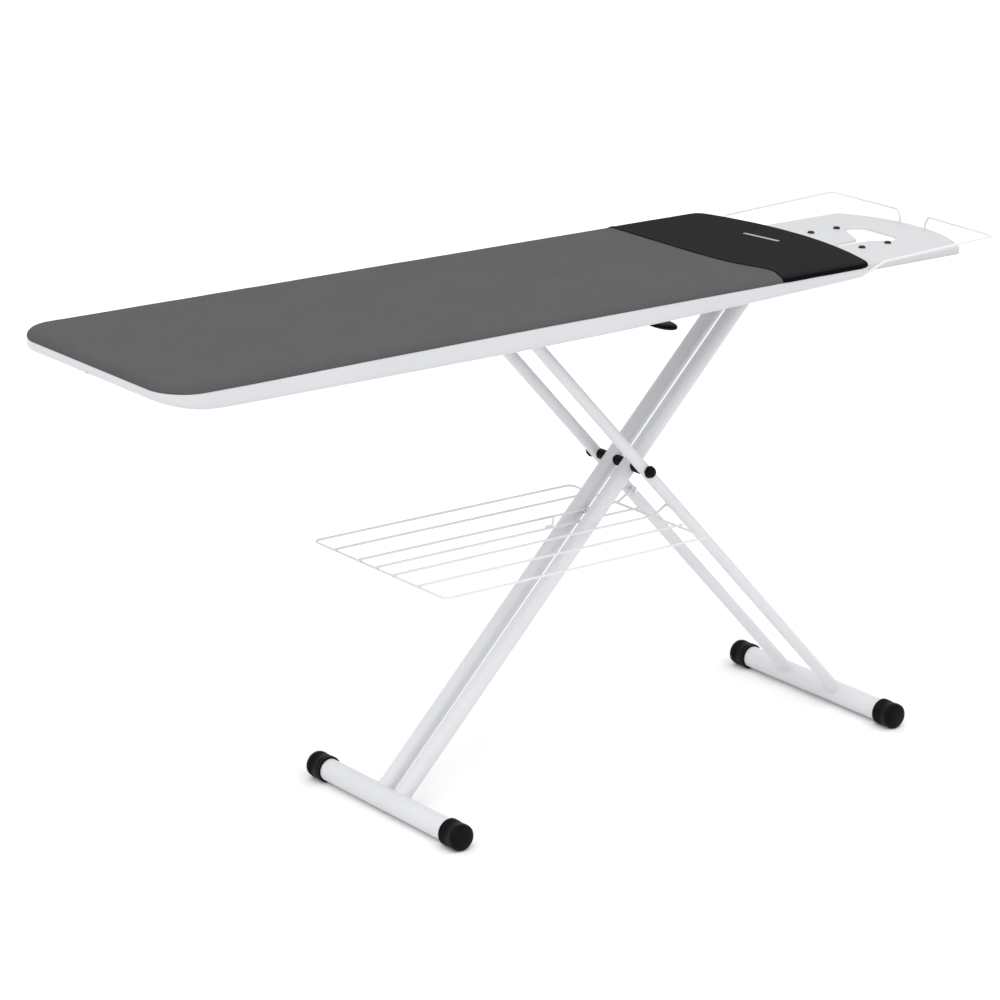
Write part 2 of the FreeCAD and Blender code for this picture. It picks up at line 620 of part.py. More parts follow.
def guard_wire():
    """Closed guard round the iron: out on one side, dipped at the end, back on the other."""
    under_z, tail_z = 818.0, 822.5
    fix_y = GUARD_TAIL_Y
    notch_y = NOTCH_HALF_WIDTH
    half = [V(440, fix_y, tail_z), V(548, fix_y, tail_z), V(574, GUARD_HALF_WIDTH - 1, GUARD_Z - 10),
            V(GUARD_X - 4, GUARD_HALF_WIDTH, GUARD_Z), V(GUARD_X + 2, notch_y + 7, GUARD_Z),
            V(GUARD_X + 2, notch_y, GUARD_Z - 12), V(GUARD_X + 2, notch_y, under_z)]
    mirrored = [V(p.x, -p.y, p.z) for p in reversed(half)]
    return bent_wire(half + mirrored, WIRE_R, 6)


def guard_clips():
    """Saddles that clamp the guard wire's two tails under the deck."""
    clips = []
    for x in (448.0, 494.0):
        block = box(x, x + 14, 177, 195, 819.5, DECK_LOW_Z)
        tunnel = rod(V(x - 1, GUARD_TAIL_Y, 822.5), V(x + 15, GUARD_TAIL_Y, 822.5), WIRE_R)
        clips.append(block.cut(tunnel))
    return both_sides(Part.makeCompound(clips))


# ---------------------------------------------------------------- write every node
export("board_rim", rim())
export("board_deck", deck())
export("foam_pad", foam_pad())
export("grey_cover", cover(BOARD_NOSE_X, COVER_SEAM_X))
export("black_end_cover", cover(COVER_SEAM_X, BOARD_TAIL_X))
export("deck_stiffener_far", stiffener())
export("deck_stiffener_near", stiffener().mirror(V(0, 0, 0), Y_AXIS))
export("slide_rail_far", slide_rail())
export("slide_rail_near", slide_rail().mirror(V(0, 0, 0), Y_AXIS))
export("height_ratchet", height_ratchet())
export("leg_bracket", leg_bracket())
export("leg_hinge_axle", leg_hinge_axle())
export("nose_rivets", nose_rivets())
export("rod_clips", rod_clips())

export("iron_rest_plate", iron_rest_plate())
export("iron_rest_bumpers", iron_rest_bumpers())
export("iron_rest_arm_far", iron_rest_arm())
export("iron_rest_arm_near", iron_rest_arm().mirror(V(0, 0, 0), Y_AXIS))
export("iron_rest_spacers", iron_rest_spacers())
export("iron_rest_screws", iron_rest_screws())
export("guard_wire", guard_wire())
export("guard_clips", guard_clips())

hinge_bush_r = HINGE_AXLE_R + RUNNING_GAP + BUSH_WALL
pivot_bush_r = PIVOT_AXLE_R + RUNNING_GAP + BUSH_WALL
for side_name, side in (("far", 1), ("near", -1)):
    export("inner_leg_" + side_name, leg(-1, side * INNER_LEG_Y, INNER_LEG_R, PIVOT_AXLE_R, hinge_bush_r))
    export("outer_leg_" + side_name, leg(1, side * OUTER_LEG_Y, OUTER_LEG_R, pivot_bush_r, pivot_bush_r))
    export("left_foot_cap_" + side_name, foot_cap(PIVOT_X - FOOT_SPREAD, LEFT_BAR_HALF, side))
    export("right_foot_cap_" + side_name, foot_cap(PIVOT_X + FOOT_SPREAD, RIGHT_BAR_HALF, side))
export("left_foot_bar", foot_bar(PIVOT_X - FOOT_SPREAD, LEFT_BAR_HALF))
export("right_foot_bar", foot_bar(PIVOT_X + FOOT_SPREAD, RIGHT_BAR_HALF))
export("leg_hinge_bushes", both_sides(bush(LEG_HINGE_X, HINGE_Z, INNER_LEG_Y, INNER_LEG_R, HINGE_AXLE_R)))
export("pivot_bushes", both_sides(bush(PIVOT_X, PIVOT_Z, OUTER_LEG_Y, OUTER_LEG_R, PIVOT_AXLE_R)))
export("slide_bushes", both_sides(bush(SLIDE_X, HINGE_Z, OUTER_LEG_Y, OUTER_LEG_R, PIVOT_AXLE_R)))
export("pivot_axle", pivot_axle())
export("pivot_spacers", both_sides(pivot_spacer()))
export("centre_spacer", centre_spacer())
export("pivot_end_caps", both_sides(pivot_end_cap()))
export("rack_rest_pin", rack_rest_pin())
export("rack_studs", both_sides(rack_stud()))

export("slide_axle", slide_axle())
export("slide_shoe_far", slide_shoe())
export("slide_shoe_near", slide_shoe().mirror(V(0, 0, 0), Y_AXIS))
export("lock_pawl", lock_pawl())
export("pawl_spring", pawl_spring())
export("release_rod", release_rod())
export("release_blade", release_blade())
export("release_lever", release_lever())
export("lever_spring", lever_spring())

export("rack_end_bar_left", rack_end_bar(RACK_LEFT_X, -1))
export("rack_end_bar_right", rack_end_bar(RACK_RIGHT_X, 1))
export("rack_side_wires", Part.makeCompound([rack_side_wire(-1), rack_side_wire(1)]))
export("rack_wires", rack_wires())
export("rack_hook_wires", Part.makeCompound([rack_hook_wire(y) for y in HOOK_WIRE_Y]))
export("rack_hanger", rack_hanger())
print("leg angle", round(LEG_ANGLE, 3), "hinge x", round(LEG_HINGE_X, 3), "slide x", round(SLIDE_X, 3),
      "rack hinge", round(PIVOT_X + RACK_HINGE_DX, 3), RACK_HINGE_Z)
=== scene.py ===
"""Ironing board with crossed folding legs, cloth-covered top, iron rest and laundry rack.

Metres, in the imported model's frame: +X along the board towards the iron rest, -Y towards
the person who irons, +Z up, origin on the floor.
"""
import math

import bmesh
import bpy
import numpy as np
from mathutils import Matrix, Vector, noise


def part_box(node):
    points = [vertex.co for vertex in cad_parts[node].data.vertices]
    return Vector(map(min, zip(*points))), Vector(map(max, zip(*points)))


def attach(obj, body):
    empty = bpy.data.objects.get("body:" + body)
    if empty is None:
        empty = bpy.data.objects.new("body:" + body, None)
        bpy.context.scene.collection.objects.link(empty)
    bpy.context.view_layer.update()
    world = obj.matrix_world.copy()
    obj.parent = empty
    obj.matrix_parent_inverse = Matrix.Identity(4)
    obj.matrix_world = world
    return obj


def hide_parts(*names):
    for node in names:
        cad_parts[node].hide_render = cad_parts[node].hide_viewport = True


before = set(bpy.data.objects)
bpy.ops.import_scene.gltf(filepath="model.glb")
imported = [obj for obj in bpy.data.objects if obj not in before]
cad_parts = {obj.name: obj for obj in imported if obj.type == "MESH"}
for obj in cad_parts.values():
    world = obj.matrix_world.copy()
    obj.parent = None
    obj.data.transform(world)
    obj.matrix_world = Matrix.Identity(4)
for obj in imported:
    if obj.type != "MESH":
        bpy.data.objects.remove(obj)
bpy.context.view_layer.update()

# ---------------------------------------------------------------- Camera
# A long lens at standing height, well back from the plain end on the near side, held a
# little off level.
CAMERA_PLACE = Vector((-3.6793, -4.4818, 2.3139))
CAMERA_HEADING = math.radians(38.848)
CAMERA_DIP = math.radians(17.575)
CAMERA_TILT = math.radians(1.3521)
CAMERA_LENS = 134.782

ahead = Vector((math.sin(CAMERA_HEADING) * math.cos(CAMERA_DIP),
                math.cos(CAMERA_HEADING) * math.cos(CAMERA_DIP),
                -math.sin(CAMERA_DIP)))
level = Vector((math.cos(CAMERA_HEADING), -math.sin(CAMERA_HEADING), 0))
above = level.cross(ahead)
camera_right = level * math.cos(CAMERA_TILT) + above * math.sin(CAMERA_TILT)
camera_up = above * math.cos(CAMERA_TILT) - level * math.sin(CAMERA_TILT)


def linked(name, data):
    """A new object in the scene."""
    made = bpy.data.objects.new(name, data)
    bpy.context.collection.objects.link(made)
    return made


lens = bpy.data.cameras.new("camera")
lens.lens = CAMERA_LENS
lens.sensor_width = 36.0
lens.clip_end = 60.0
camera = linked("camera", lens)
camera.matrix_world = (Matrix.Translation(CAMERA_PLACE)
                       @ Matrix((camera_right, camera_up, -ahead)).transposed().to_4x4())
bpy.context.scene.camera = camera
bpy.context.scene.view_settings.view_transform = "Standard"


# ---------------------------------------------------------------- Studio
# A white sweep under an even white sky.  A broad, very soft sun lights tops more than
# undersides, and one large lamp over the near side gives the paint its highlights.
def put(tree, kind, inputs=None, **settings):
    """A node with its settings made and its inputs set or linked.

    kind is a shader node's short name, or any node's full one.
    """
    made = tree.nodes.new(kind if "Node" in kind else "ShaderNode" + kind)
    for name, value in settings.items():
        setattr(made, name, value)
    for name, value in (inputs or {}).items():
        if isinstance(value, bpy.types.NodeSocket):
            tree.links.new(value, made.inputs[name])
        else:
            made.inputs[name].default_value = value
    return made


def finish_named(name, **constants):
    """An empty material: its tree and its Principled shader, with the fixed values set."""
    material = bpy.data.materials.new(name)
    material.use_nodes = True
    shader = material.node_tree.nodes["Principled BSDF"]
    for socket, value in constants.items():
        shader.inputs[socket.replace("_", " ")].default_value = value
    return material, material.node_tree, shader


def aimed_lamp(name, kind, energy, place, aim):
    lamp = bpy.data.lights.new(name, kind)
    lamp.energy = energy
    holder = linked(name, lamp)
    holder.location = place
    holder.rotation_euler = (Vector(aim) - Vector(place)).to_track_quat("-Z", "Y").to_euler()
    return lamp


sky = bpy.data.worlds.new("studio sky")
sky.use_nodes = True
sky_light = sky.node_tree.nodes["Background"].inputs
sky_light["Color"].default_value = (1.0, 1.0, 1.0, 1.0)
sky_light["Strength"].default_value = 1.0
bpy.context.scene.world = sky

overhead = aimed_lamp("overhead lamp", "AREA", 24.0, (-1.2, -1.4, 3.6), (0.0, 0.0, 0.6))
overhead.shape = "SQUARE"
overhead.size = 2.2
sun = aimed_lamp("soft sun", "SUN", 1.0, (0.0, 0.0, 0.0), (0.35, 0.25, -1.0))
sun.angle = math.radians(90)

FLOOR_HALF = 14.0
floor_corners = [(x * FLOOR_HALF, y * FLOOR_HALF, 0)
                 for x, y in ((-1, -1), (1, -1), (1, 1), (-1, 1))]
floor_mesh = bpy.data.meshes.new("studio_floor")
floor_mesh.from_pydata(floor_corners, [], [(0, 1, 2, 3)])
studio_white = finish_named("studio white", Roughness=0.9, Base_Color=(0.93, 0.93, 0.93, 1))[0]
floor_mesh.materials.append(studio_white)
floor = linked("studio_floor", floor_mesh)


# ---------------------------------------------------------------- White paint
# Everything structural is welded steel in one white powder coat: a fine orange-peel skin with faint
# scuffs and a little dust, slightly cool in colour. The leg tubes, foot bars and their welds take a
# lighter copy of it as painted light, and the iron rest tray a darker copy as painted shade.
def effect_group(name, inputs, outputs):
    """A node group with float or colour sockets, and its input and output nodes."""
    group = bpy.data.node_groups.new(name, "ShaderNodeTree")
    for socket, value in inputs.items():
        kind = "NodeSocketColor" if isinstance(value, tuple) else "NodeSocketFloat"
        made = group.interface.new_socket(socket, in_out="INPUT", socket_type=kind)
        made.default_value = value
    for socket, kind in outputs.items():
        group.interface.new_socket(socket, in_out="OUTPUT", socket_type="NodeSocket" + kind)
    given = group.nodes.new("NodeGroupInput").outputs
    return group, given, group.nodes.new("NodeGroupOutput").inputs


def mixed(tree, share, first, second, blend="MIX"):
    """Two colours mixed, with the given share of the second."""
    return put(tree, "Mix", {0: share, 6: first, 7: second},
               data_type="RGBA", blend_type=blend).outputs[2]


def worked(tree, operation, *values):
    """The result of one sum."""
    return put(tree, "Math", dict(enumerate(values)), operation=operation).outputs[0]


def spread_over(tree, value, **ends):
    """A value stretched from one range to another."""
    inputs = {end.replace("_", " "): at for end, at in ends.items()}
    return put(tree, "MapRange", {"Value": value, **inputs}).outputs["Result"]


def noisy(tree, where, scale, detail, **inputs):
    settings = {"Vector": where, "Scale": scale, "Detail": detail, **inputs}
    return put(tree, "TexNoise", settings).outputs["Fac"]


def dress(tree, shader, colour, height, depth, strength=1.0, roughness=None):
    """Gives a shader its colour, its relief and, where it varies, its roughness."""
    relief = put(tree, "Bump", {"Height": height, "Distance": depth, "Strength": strength})
    tree.links.new(colour, shader.inputs["Base Color"])
    tree.links.new(relief.outputs["Normal"], shader.inputs["Normal"])
    if roughness is not None:
        tree.links.new(roughness, shader.inputs["Roughness"])


def grouped_finish(name, group, inputs, depth, strength, **constants):
    """A material whose colour, roughness and relief come from one node group."""
    material, tree, shader = finish_named(name, **constants)
    skin = put(tree, "Group", inputs, node_tree=group).outputs
    dress(tree, shader, skin["Colour"], skin["Height"], depth, strength, skin["Roughness"])
    return material


paint_film, given, result = effect_group(
    "paint film",
    {"Colour": (0.8, 0.8, 0.8, 1.0), "Roughness": 0.35, "Peel Size": 900.0, "Scuffs": 0.5},
    {"Colour": "Color", "Roughness": "Float", "Height": "Float"})
where = put(paint_film, "TexCoord").outputs["Object"]
cloudy = noisy(paint_film, where, 7.0, 3.0)
tone = spread_over(paint_film, cloudy, From_Min=0.3, From_Max=0.7, To_Min=0.975, To_Max=1.015)
rubbed = noisy(paint_film, where, 55.0, 8.0, Roughness=0.7)
scuffed = spread_over(paint_film, rubbed, From_Min=0.62, From_Max=0.74)
scuffed = worked(paint_film, "MULTIPLY", scuffed, given["Scuffs"])
toned = mixed(paint_film, 1.0, given["Colour"], tone, "MULTIPLY")
dulled = mixed(paint_film, scuffed, toned, (0.90, 0.90, 0.89, 1.0), "MULTIPLY")
duller = worked(paint_film, "MULTIPLY_ADD", scuffed, 0.18, given["Roughness"])
uneven = worked(paint_film, "MULTIPLY_ADD", cloudy, 0.10, duller)
paint_film.links.new(dulled, result["Colour"])
paint_film.links.new(uneven, result["Roughness"])
paint_film.links.new(noisy(paint_film, where, given["Peel Size"], 2.0), result["Height"])


def white_paint(name, colour, roughness, peel_size, peel_depth, scuffs):
    inputs = {"Colour": colour, "Roughness": roughness, "Peel Size": peel_size, "Scuffs": scuffs}
    return grouped_finish(name, paint_film, inputs, peel_depth, 0.6,
                          Specular_IOR_Level=0.35, Coat_Weight=0.08, Coat_Roughness=0.12)


powder_coat = white_paint("white powder coat", (0.560, 0.567, 0.588, 1.0), roughness=0.34,
                          peel_size=850.0, peel_depth=0.00006, scuffs=0.45)
# A lighter copy of the powder coat for the leg tubes and foot bars: painted light.
lit_tube_coat = white_paint("white tube coat painted lighter", (0.625, 0.632, 0.650, 1.0), roughness=0.32,
                        peel_size=850.0, peel_depth=0.00006, scuffs=0.45)
# A darker copy of the powder coat for the iron rest tray: painted shade.
shaded_tray_coat = white_paint("white tray coat painted darker", (0.505, 0.510, 0.525, 1.0), roughness=0.40,
                        peel_size=850.0, peel_depth=0.00006, scuffs=0.6)
wire_coat = white_paint("white dipped wire", (0.67, 0.67, 0.68, 1.0), roughness=0.28,
                        peel_size=500.0, peel_depth=0.00010, scuffs=0.30)
deck_coat = white_paint("white deck coat", (0.54, 0.54, 0.56, 1.0), roughness=0.42,
                        peel_size=1200.0, peel_depth=0.00008, scuffs=0.8)


def finish_nodes(material, *names):
    """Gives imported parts, whose shape stays as it is, their finish."""
    for name in names:
        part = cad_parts[name]
        if not part.material_slots:
            part.data.materials.append(material)
        for place in part.material_slots:
            place.material = material


finish_nodes(deck_coat, "board_deck", "deck_stiffener_far", "deck_stiffener_near")
finish_nodes(powder_coat, "slide_rail_far", "slide_rail_near", "leg_bracket", "rod_clips",
             "iron_rest_arm_far", "iron_rest_arm_near", "iron_rest_spacers", "guard_clips")
finish_nodes(lit_tube_coat, "inner_leg_far", "inner_leg_near", "outer_leg_far", "outer_leg_near",
             "left_foot_bar", "right_foot_bar")
finish_nodes(wire_coat, "guard_wire", "rack_end_bar_left", "rack_end_bar_right",
             "rack_side_wires", "rack_wires", "rack_hook_wires", "rack_hanger")


# ---------------------------------------------------------------- Board rim
# A rolled steel band round the whole board.  Its outer wall bellies a little and turns in
# under the board in a soft roll.  Its lower edge rises at both ends, and its lip sinks a
# little towards the plain end.
RIM_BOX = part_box("board_rim")
NOSE_X = RIM_BOX[0].x
TAIL_X = RIM_BOX[1].x
HALF_WIDTH = RIM_BOX[1].y
RIM_LOW = RIM_BOX[0].z
RIM_TOP = RIM_BOX[1].z
NOSE_CORNER_R = 0.060
TAIL_CORNER_R = 0.026
TAIL_ARCH_R = 0.580
RIM_NOSE_RISE = 0.013
RIM_TAIL_RISE = 0.018
RIM_SHEET = 0.0015
RIM_ROLL_R = 0.0085
RIM_RETURN = 0.0125
NOSE_SWEEP = 0.11              # how far from the plain end the lower edge starts to rise
TAIL_SWEEP_X = (-0.30, TAIL_X - 0.035)
LIP_DROP = 0.0045
LIP_LEVEL_X = -0.10            # the lip is level from here to the tail
LIP_SWEEP = 0.60
EDGE_SPACING = 0.005


def arched_outline(x0, x1, half, start_r, end_r, arch_r, spacing):
    """Points and outward normals round a plate, straight at x0 and arched at x1."""
    arch_centre = x1 - arch_r
    corner_x = arch_centre + math.sqrt((arch_r - end_r) ** 2 - (half - end_r) ** 2)
    reach = math.atan2(half - end_r, corner_x - arch_centre)
    points, normals = [], []

    def along_line(a, b, normal):
        steps = max(1, round(math.dist(a, b) / spacing))
        for i in range(steps):
            points.append((a[0] + (b[0] - a[0]) * i / steps, a[1] + (b[1] - a[1]) * i / steps))
            normals.append(normal)

    def round_arc(centre, radius, start, end):
        steps = max(5, round(radius * (end - start) / spacing))
        for i in range(steps):
            angle = start + (end - start) * i / steps
            normal = (math.cos(angle), math.sin(angle))
            points.append((centre[0] + radius * normal[0], centre[1] + radius * normal[1]))
            normals.append(normal)

    quarter = math.pi / 2
    along_line((x0 + start_r, -half), (corner_x, -half), (0.0, -1.0))
    round_arc((corner_x, -half + end_r), end_r, -quarter, -reach)
    round_arc((arch_centre, 0.0), arch_r, -reach, reach)
    round_arc((corner_x, half - end_r), end_r, reach, quarter)
    along_line((corner_x, half), (x0 + start_r, half), (0.0, 1.0))
    round_arc((x0 + start_r, half - start_r), start_r, quarter, 2 * quarter)
    along_line((x0, half - start_r), (x0, -half + start_r), (-1.0, 0.0))
    round_arc((x0 + start_r, -half + start_r), start_r, 2 * quarter, 3 * quarter)
    return np.array(points), np.array(normals)


def rim_bottom(x):
    """Height of the rim's lower edge: level, and swept up at both ends."""
    nose = np.clip((NOSE_X + NOSE_SWEEP - x) / NOSE_SWEEP, 0, 1) ** 2
    start, end = TAIL_SWEEP_X
    tail = np.clip((x - start) / (end - start), 0, 1) ** 2
    return RIM_LOW + RIM_NOSE_RISE * nose + RIM_TAIL_RISE * tail


def lip_drop(x):
    """How far the rim's lip and the covers' hem sink towards the plain end."""
    return LIP_DROP * np.clip((LIP_LEVEL_X - x) / LIP_SWEEP, 0, 1) ** 1.5


def finished_body(name, mesh, material):
    mesh.materials.append(material)
    return linked(name, mesh)


def new_piece(name, points, faces, material):
    mesh = bpy.data.meshes.new(name)
    mesh.from_pydata([tuple(p) for p in points], [], faces)
    mesh.validate()
    mesh.shade_smooth()
    return finished_body(name, mesh, material)


def swept_tube(rows, closed_path=True):
    """Quads between successive closed cross-sections; rows is (stations, points, 3)."""
    stations, around = rows.shape[:2]
    faces = []
    for i in range(stations if closed_path else stations - 1):
        for j in range(around):
            here, ahead_of = i * around, ((i + 1) % stations) * around
            k = (j + 1) % around
            faces.append((here + j, here + k, ahead_of + k, ahead_of + j))
    return rows.reshape(-1, 3), faces


board_edge, board_edge_out = arched_outline(NOSE_X, TAIL_X, HALF_WIDTH, NOSE_CORNER_R,
                                            TAIL_CORNER_R, TAIL_ARCH_R, EDGE_SPACING)
# Outer wall from the lip down: inset from the outline, and share of the wall's height.
outer_wall = [(0.0016, 1.0), (0.0005, 0.975), (0.0001, 0.92), (0.0, 0.70), (0.0, 0.5)]
roll = np.linspace(0, math.pi / 2, 6)
rows = []
for (x, y), (nx, ny), low in zip(board_edge, board_edge_out, rim_bottom(board_edge[:, 0])):
    lip = RIM_TOP - float(lip_drop(x))
    roll_r = min(RIM_ROLL_R, 0.5 * (lip - low))
    inner_r = roll_r - RIM_SHEET
    wall = lip - low - roll_r
    section = [(inset, low + roll_r + wall * up) for inset, up in outer_wall]
    section += [(roll_r * (1 - math.cos(t)), low + roll_r * (1 - math.sin(t))) for t in roll]
    section += [(RIM_RETURN, low), (RIM_RETURN, low + RIM_SHEET), (roll_r, low + RIM_SHEET)]
    section += [(roll_r - inner_r * math.sin(t), low + roll_r - inner_r * math.cos(t))
                for t in roll[1:]]
    section += [(RIM_SHEET, lip - 0.002), (RIM_SHEET + 0.0004, lip - 0.0002)]
    rows.append([(x - nx * inset, y - ny * inset, z) for inset, z in section])
points, faces = swept_tube(np.array(rows))
rim = new_piece("rolled_rim", points, faces, powder_coat)


def facing_out(piece):
    """Turns a closed piece's faces outwards."""
    work = bmesh.new()
    work.from_mesh(piece.data)
    bmesh.ops.recalc_face_normals(work, faces=work.faces)
    work.to_mesh(piece.data)
    work.free()
    return piece


facing_out(rim)
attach(rim, "board")
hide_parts("board_rim")


# ---------------------------------------------------------------- Felt pad
# A thick needled-felt pad lies on the deck inside the rim, its top edge softened by the
# cover pulled over it.
PAD_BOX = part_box("foam_pad")


def signed_distance(outline, normals, places):
    """Distance from the outline in plan, negative inside."""
    found = np.empty(len(places))
    for start in range(0, len(places), 4000):
        chunk = places[start:start + 4000]
        gap = chunk[:, None, :] - outline[None, :, :]
        nearest = (gap ** 2).sum(-1).argmin(1)
        picked = gap[np.arange(len(chunk)), nearest]
        found[start:start + 4000] = (picked * normals[nearest]).sum(-1)
    return found


def plan_mesh(distance, low, high, step):
    """Square mesh over the area where distance is negative, its border drawn onto the line.

    Returns plan points, faces, and each border as a loop of point numbers.
    """
    xs = np.linspace(low[0], high[0], round((high[0] - low[0]) / step) + 1)
    ys = np.linspace(low[1], high[1], round((high[1] - low[1]) / step) + 1)
    grid = np.stack(np.meshgrid(xs, ys, indexing="ij"), -1)
    inside = distance(grid.reshape(-1, 2)).reshape(grid.shape[:2]) < 0.4 * step
    kept = inside[:-1, :-1] & inside[1:, :-1] & inside[:-1, 1:] & inside[1:, 1:]
    number = -np.ones(inside.shape, int)
    points, faces = [], []

    def numbered(i, j):
        if number[i, j] < 0:
            number[i, j] = len(points)
            points.append(grid[i, j])
        return int(number[i, j])

    for i, j in np.argwhere(kept):
        faces.append((numbered(i, j), numbered(i + 1, j),
                      numbered(i + 1, j + 1), numbered(i, j + 1)))
    directed = {(f[k], f[(k + 1) % 4]) for f in faces for k in range(4)}
    following = {a: b for a, b in directed if (b, a) not in directed}
    points = np.array(points)
    border = np.array(sorted(following))
    small = step * 0.02
    for turn in range(3):
        here = points[border]
        off = distance(here)
        slope = np.stack([distance(here + (small, 0)) - off,
                          distance(here + (0, small)) - off], -1) / small
        slope /= np.maximum(np.linalg.norm(slope, axis=1, keepdims=True), 0.2)
        points[border] = here - slope * off[:, None]
    loops = []
    left = dict(following)
    while left:
        start = next(iter(left))
        loop, at = [], start
        while at in left:
            loop.append(at)
            at = left.pop(at)
        loops.append(loop)
    return points, faces, loops


def outward_at(distance, places):
    """Outward directions in plan, across the line where distance is nought."""
    small = 0.0004
    off = distance(places)
    slope = np.stack([distance(places + (small, 0)) - off, distance(places + (0, small)) - off], -1)
    return slope / np.maximum(np.linalg.norm(slope, axis=1, keepdims=True), 1e-9)


def skirt(points, faces, loop, outward, rings):
    """Adds rings round a border: each is a step outwards in plan and a height."""
    base = points[loop][:, :2]
    last = list(loop)
    for step_out, height in rings:
        ring = np.column_stack([base + outward * step_out, np.full(len(loop), height)])
        new = list(range(len(points), len(points) + len(loop)))
        points = np.vstack([points, ring])
        for k in range(len(loop)):
            m = (k + 1) % len(loop)
            faces.append((last[k], new[k], new[m], last[m]))
        last = new
    return points, faces, last


PAD_STEP = 0.012
PAD_ROUNDING = 0.007
pad_top_inset = HALF_WIDTH - PAD_BOX[1].y + PAD_ROUNDING
pad_low = PAD_BOX[0].z
pad_high = PAD_BOX[1].z
pad_floor = pad_low + 0.0004


def within_pad(places):
    return signed_distance(board_edge, board_edge_out, places) + pad_top_inset


plan, faces, loops = plan_mesh(within_pad, (NOSE_X, -HALF_WIDTH), (TAIL_X, HALF_WIDTH), PAD_STEP)
crown = 0.0006 * np.array([noise.noise(Vector((x * 6, y * 6, 0))) for x, y in plan])
points = np.column_stack([plan, pad_high - 0.0004 - np.abs(crown)])
out = outward_at(within_pad, plan[loops[0]])
pad_rings = [(0.003, pad_high - 0.001), (0.0055, pad_high - 0.003), (0.0068, pad_high - 0.0055),
             (0.0068, pad_low + 0.003), (0.006, pad_low + 0.0006), (0.0, pad_floor)]
points, faces, last = skirt(points, list(faces), loops[0], out, pad_rings)
under = {n: k for n, k in zip(loops[0], last)}
base_count = len(points)
floor_points = []
for n in range(len(plan)):
    if n not in under:
        under[n] = base_count + len(floor_points)
        floor_points.append((plan[n][0], plan[n][1], pad_floor))
top_faces = [f for f in faces if max(f) < len(plan)]
points = np.vstack([points, floor_points])
faces += [tuple(under[n] for n in reversed(f)) for f in top_faces]


def two_tones(tree, share, dark, light):
    """A colour that runs from dark to light."""
    ramp = put(tree, "ValToRGB", {"Fac": share})
    for stop, colour in zip(ramp.color_ramp.elements, (dark, light)):
        stop.color = colour
    return ramp.outputs["Color"]


felt, tree, shader = finish_named("grey needled felt", Roughness=0.95, Sheen_Weight=0.3)
where = put(tree, "TexCoord").outputs["Object"]
fibre = noisy(tree, where, 420.0, 6.0, Distortion=1.5)
fleck = two_tones(tree, fibre, (0.30, 0.30, 0.29, 1), (0.62, 0.61, 0.58, 1))
dress(tree, shader, fleck, fibre, 0.0006, 0.8)

pad = facing_out(new_piece("felt_pad", points, faces, felt))
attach(pad, "board")
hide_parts("foam_pad")


# ---------------------------------------------------------------- Cloth covers
# Two cloths are sewn into one cover: a plain grey cotton over most of the board, and a
# black heat-proof end pocket, whose front hem lies on the grey.  A drawstring in the hem
# pulls both tight round the pad, and leaves small gathers along the edge.
COVER_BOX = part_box("grey_cover")
COVER_TOP = COVER_BOX[1].z
HEM_Z = COVER_BOX[0].z
SEAM_X = COVER_BOX[1].x
CLOTH_STEP = 0.005
TOP_INSET = 0.0125             # where the cloth starts to turn down, in from the edge
EDGE_DROP = 0.0066
SEAM_LEAN = 0.009
SEAM_BOW = 0.0193
PULL_REACH = 0.10              # how far from the seam the cloth's mesh is drawn to its line
CLOTH_THICKNESS = 0.0011
RIPPLE_HEIGHT = 0.00030
GATHER_HEIGHT = 0.00035
GATHER_REACH = 0.016
SHADED_SIDE_DEPTH = 0.0022         # the end pocket's turned-down edge is painted darker than its top, as painted shade


def within_cloth(places):
    return signed_distance(board_edge, board_edge_out, places) + TOP_INSET


def seam_at(y):
    """Where the end pocket's front hem crosses the board: it bows out near the user."""
    t = np.clip(-y / HALF_WIDTH, 0, 1)
    return SEAM_X - SEAM_LEAN * (1 - t) + SEAM_BOW * np.sin(math.pi * t ** 2.4) ** 2


def unevenness(x, y, fade):
    """Broad ripples of the cloth, with its edge gathers as strong as fade."""
    ripple = noise.noise(Vector((x * 9, y * 9, 1.0)))
    gather = noise.noise(Vector((x * 34, y * 34, 5.0)))
    return RIPPLE_HEIGHT * ripple + GATHER_HEIGHT * gather * fade


columns = round((TAIL_X - NOSE_X) / CLOTH_STEP)
column_pitch = (TAIL_X - NOSE_X) / columns
seam_column = NOSE_X + round((SEAM_X - NOSE_X) / column_pitch) * column_pitch
plan, faces, loops = plan_mesh(within_cloth, (NOSE_X, -HALF_WIDTH), (TAIL_X, HALF_WIDTH),
                               CLOTH_STEP)
top_count = len(plan)
edge_turn = np.linspace(0.16, 1.0, 7) * math.pi / 2
cloth_rings = [(TOP_INSET * math.sin(t), COVER_TOP - EDGE_DROP * (1 - math.cos(t)))
               for t in edge_turn]
cloth_rings += [(TOP_INSET - 0.0002, HEM_Z + 0.0008), (TOP_INSET - 0.0012, HEM_Z + 0.0001)]
out = outward_at(within_cloth, plan[loops[0]])
points = np.column_stack([plan, np.full(top_count, COVER_TOP)])
points, faces, last = skirt(points, list(faces), loops[0], out, cloth_rings)
ring_count = len(loops[0])


def beyond_edge(ring):
    """How far a ring has gone over the edge, along the cloth."""
    steps = [(0.0, COVER_TOP)] + cloth_rings[:ring + 1]
    return sum(math.dist(a, b) for a, b in zip(steps, steps[1:]))


flat = points[:, :2].copy()
for ring in range(len(cloth_rings)):
    rows_at = slice(top_count + ring * ring_count, top_count + (ring + 1) * ring_count)
    flat[rows_at] = plan[loops[0]] + out * beyond_edge(ring)

centre_x = np.array([np.mean([points[n][0] for n in f]) for f in faces])
pull = np.clip(1 - np.abs(points[:, 0] - seam_column) / PULL_REACH, 0, 1)
shift = pull * (seam_at(points[:, 1]) - seam_column)
points[:, 0] += shift
flat[:, 0] += shift

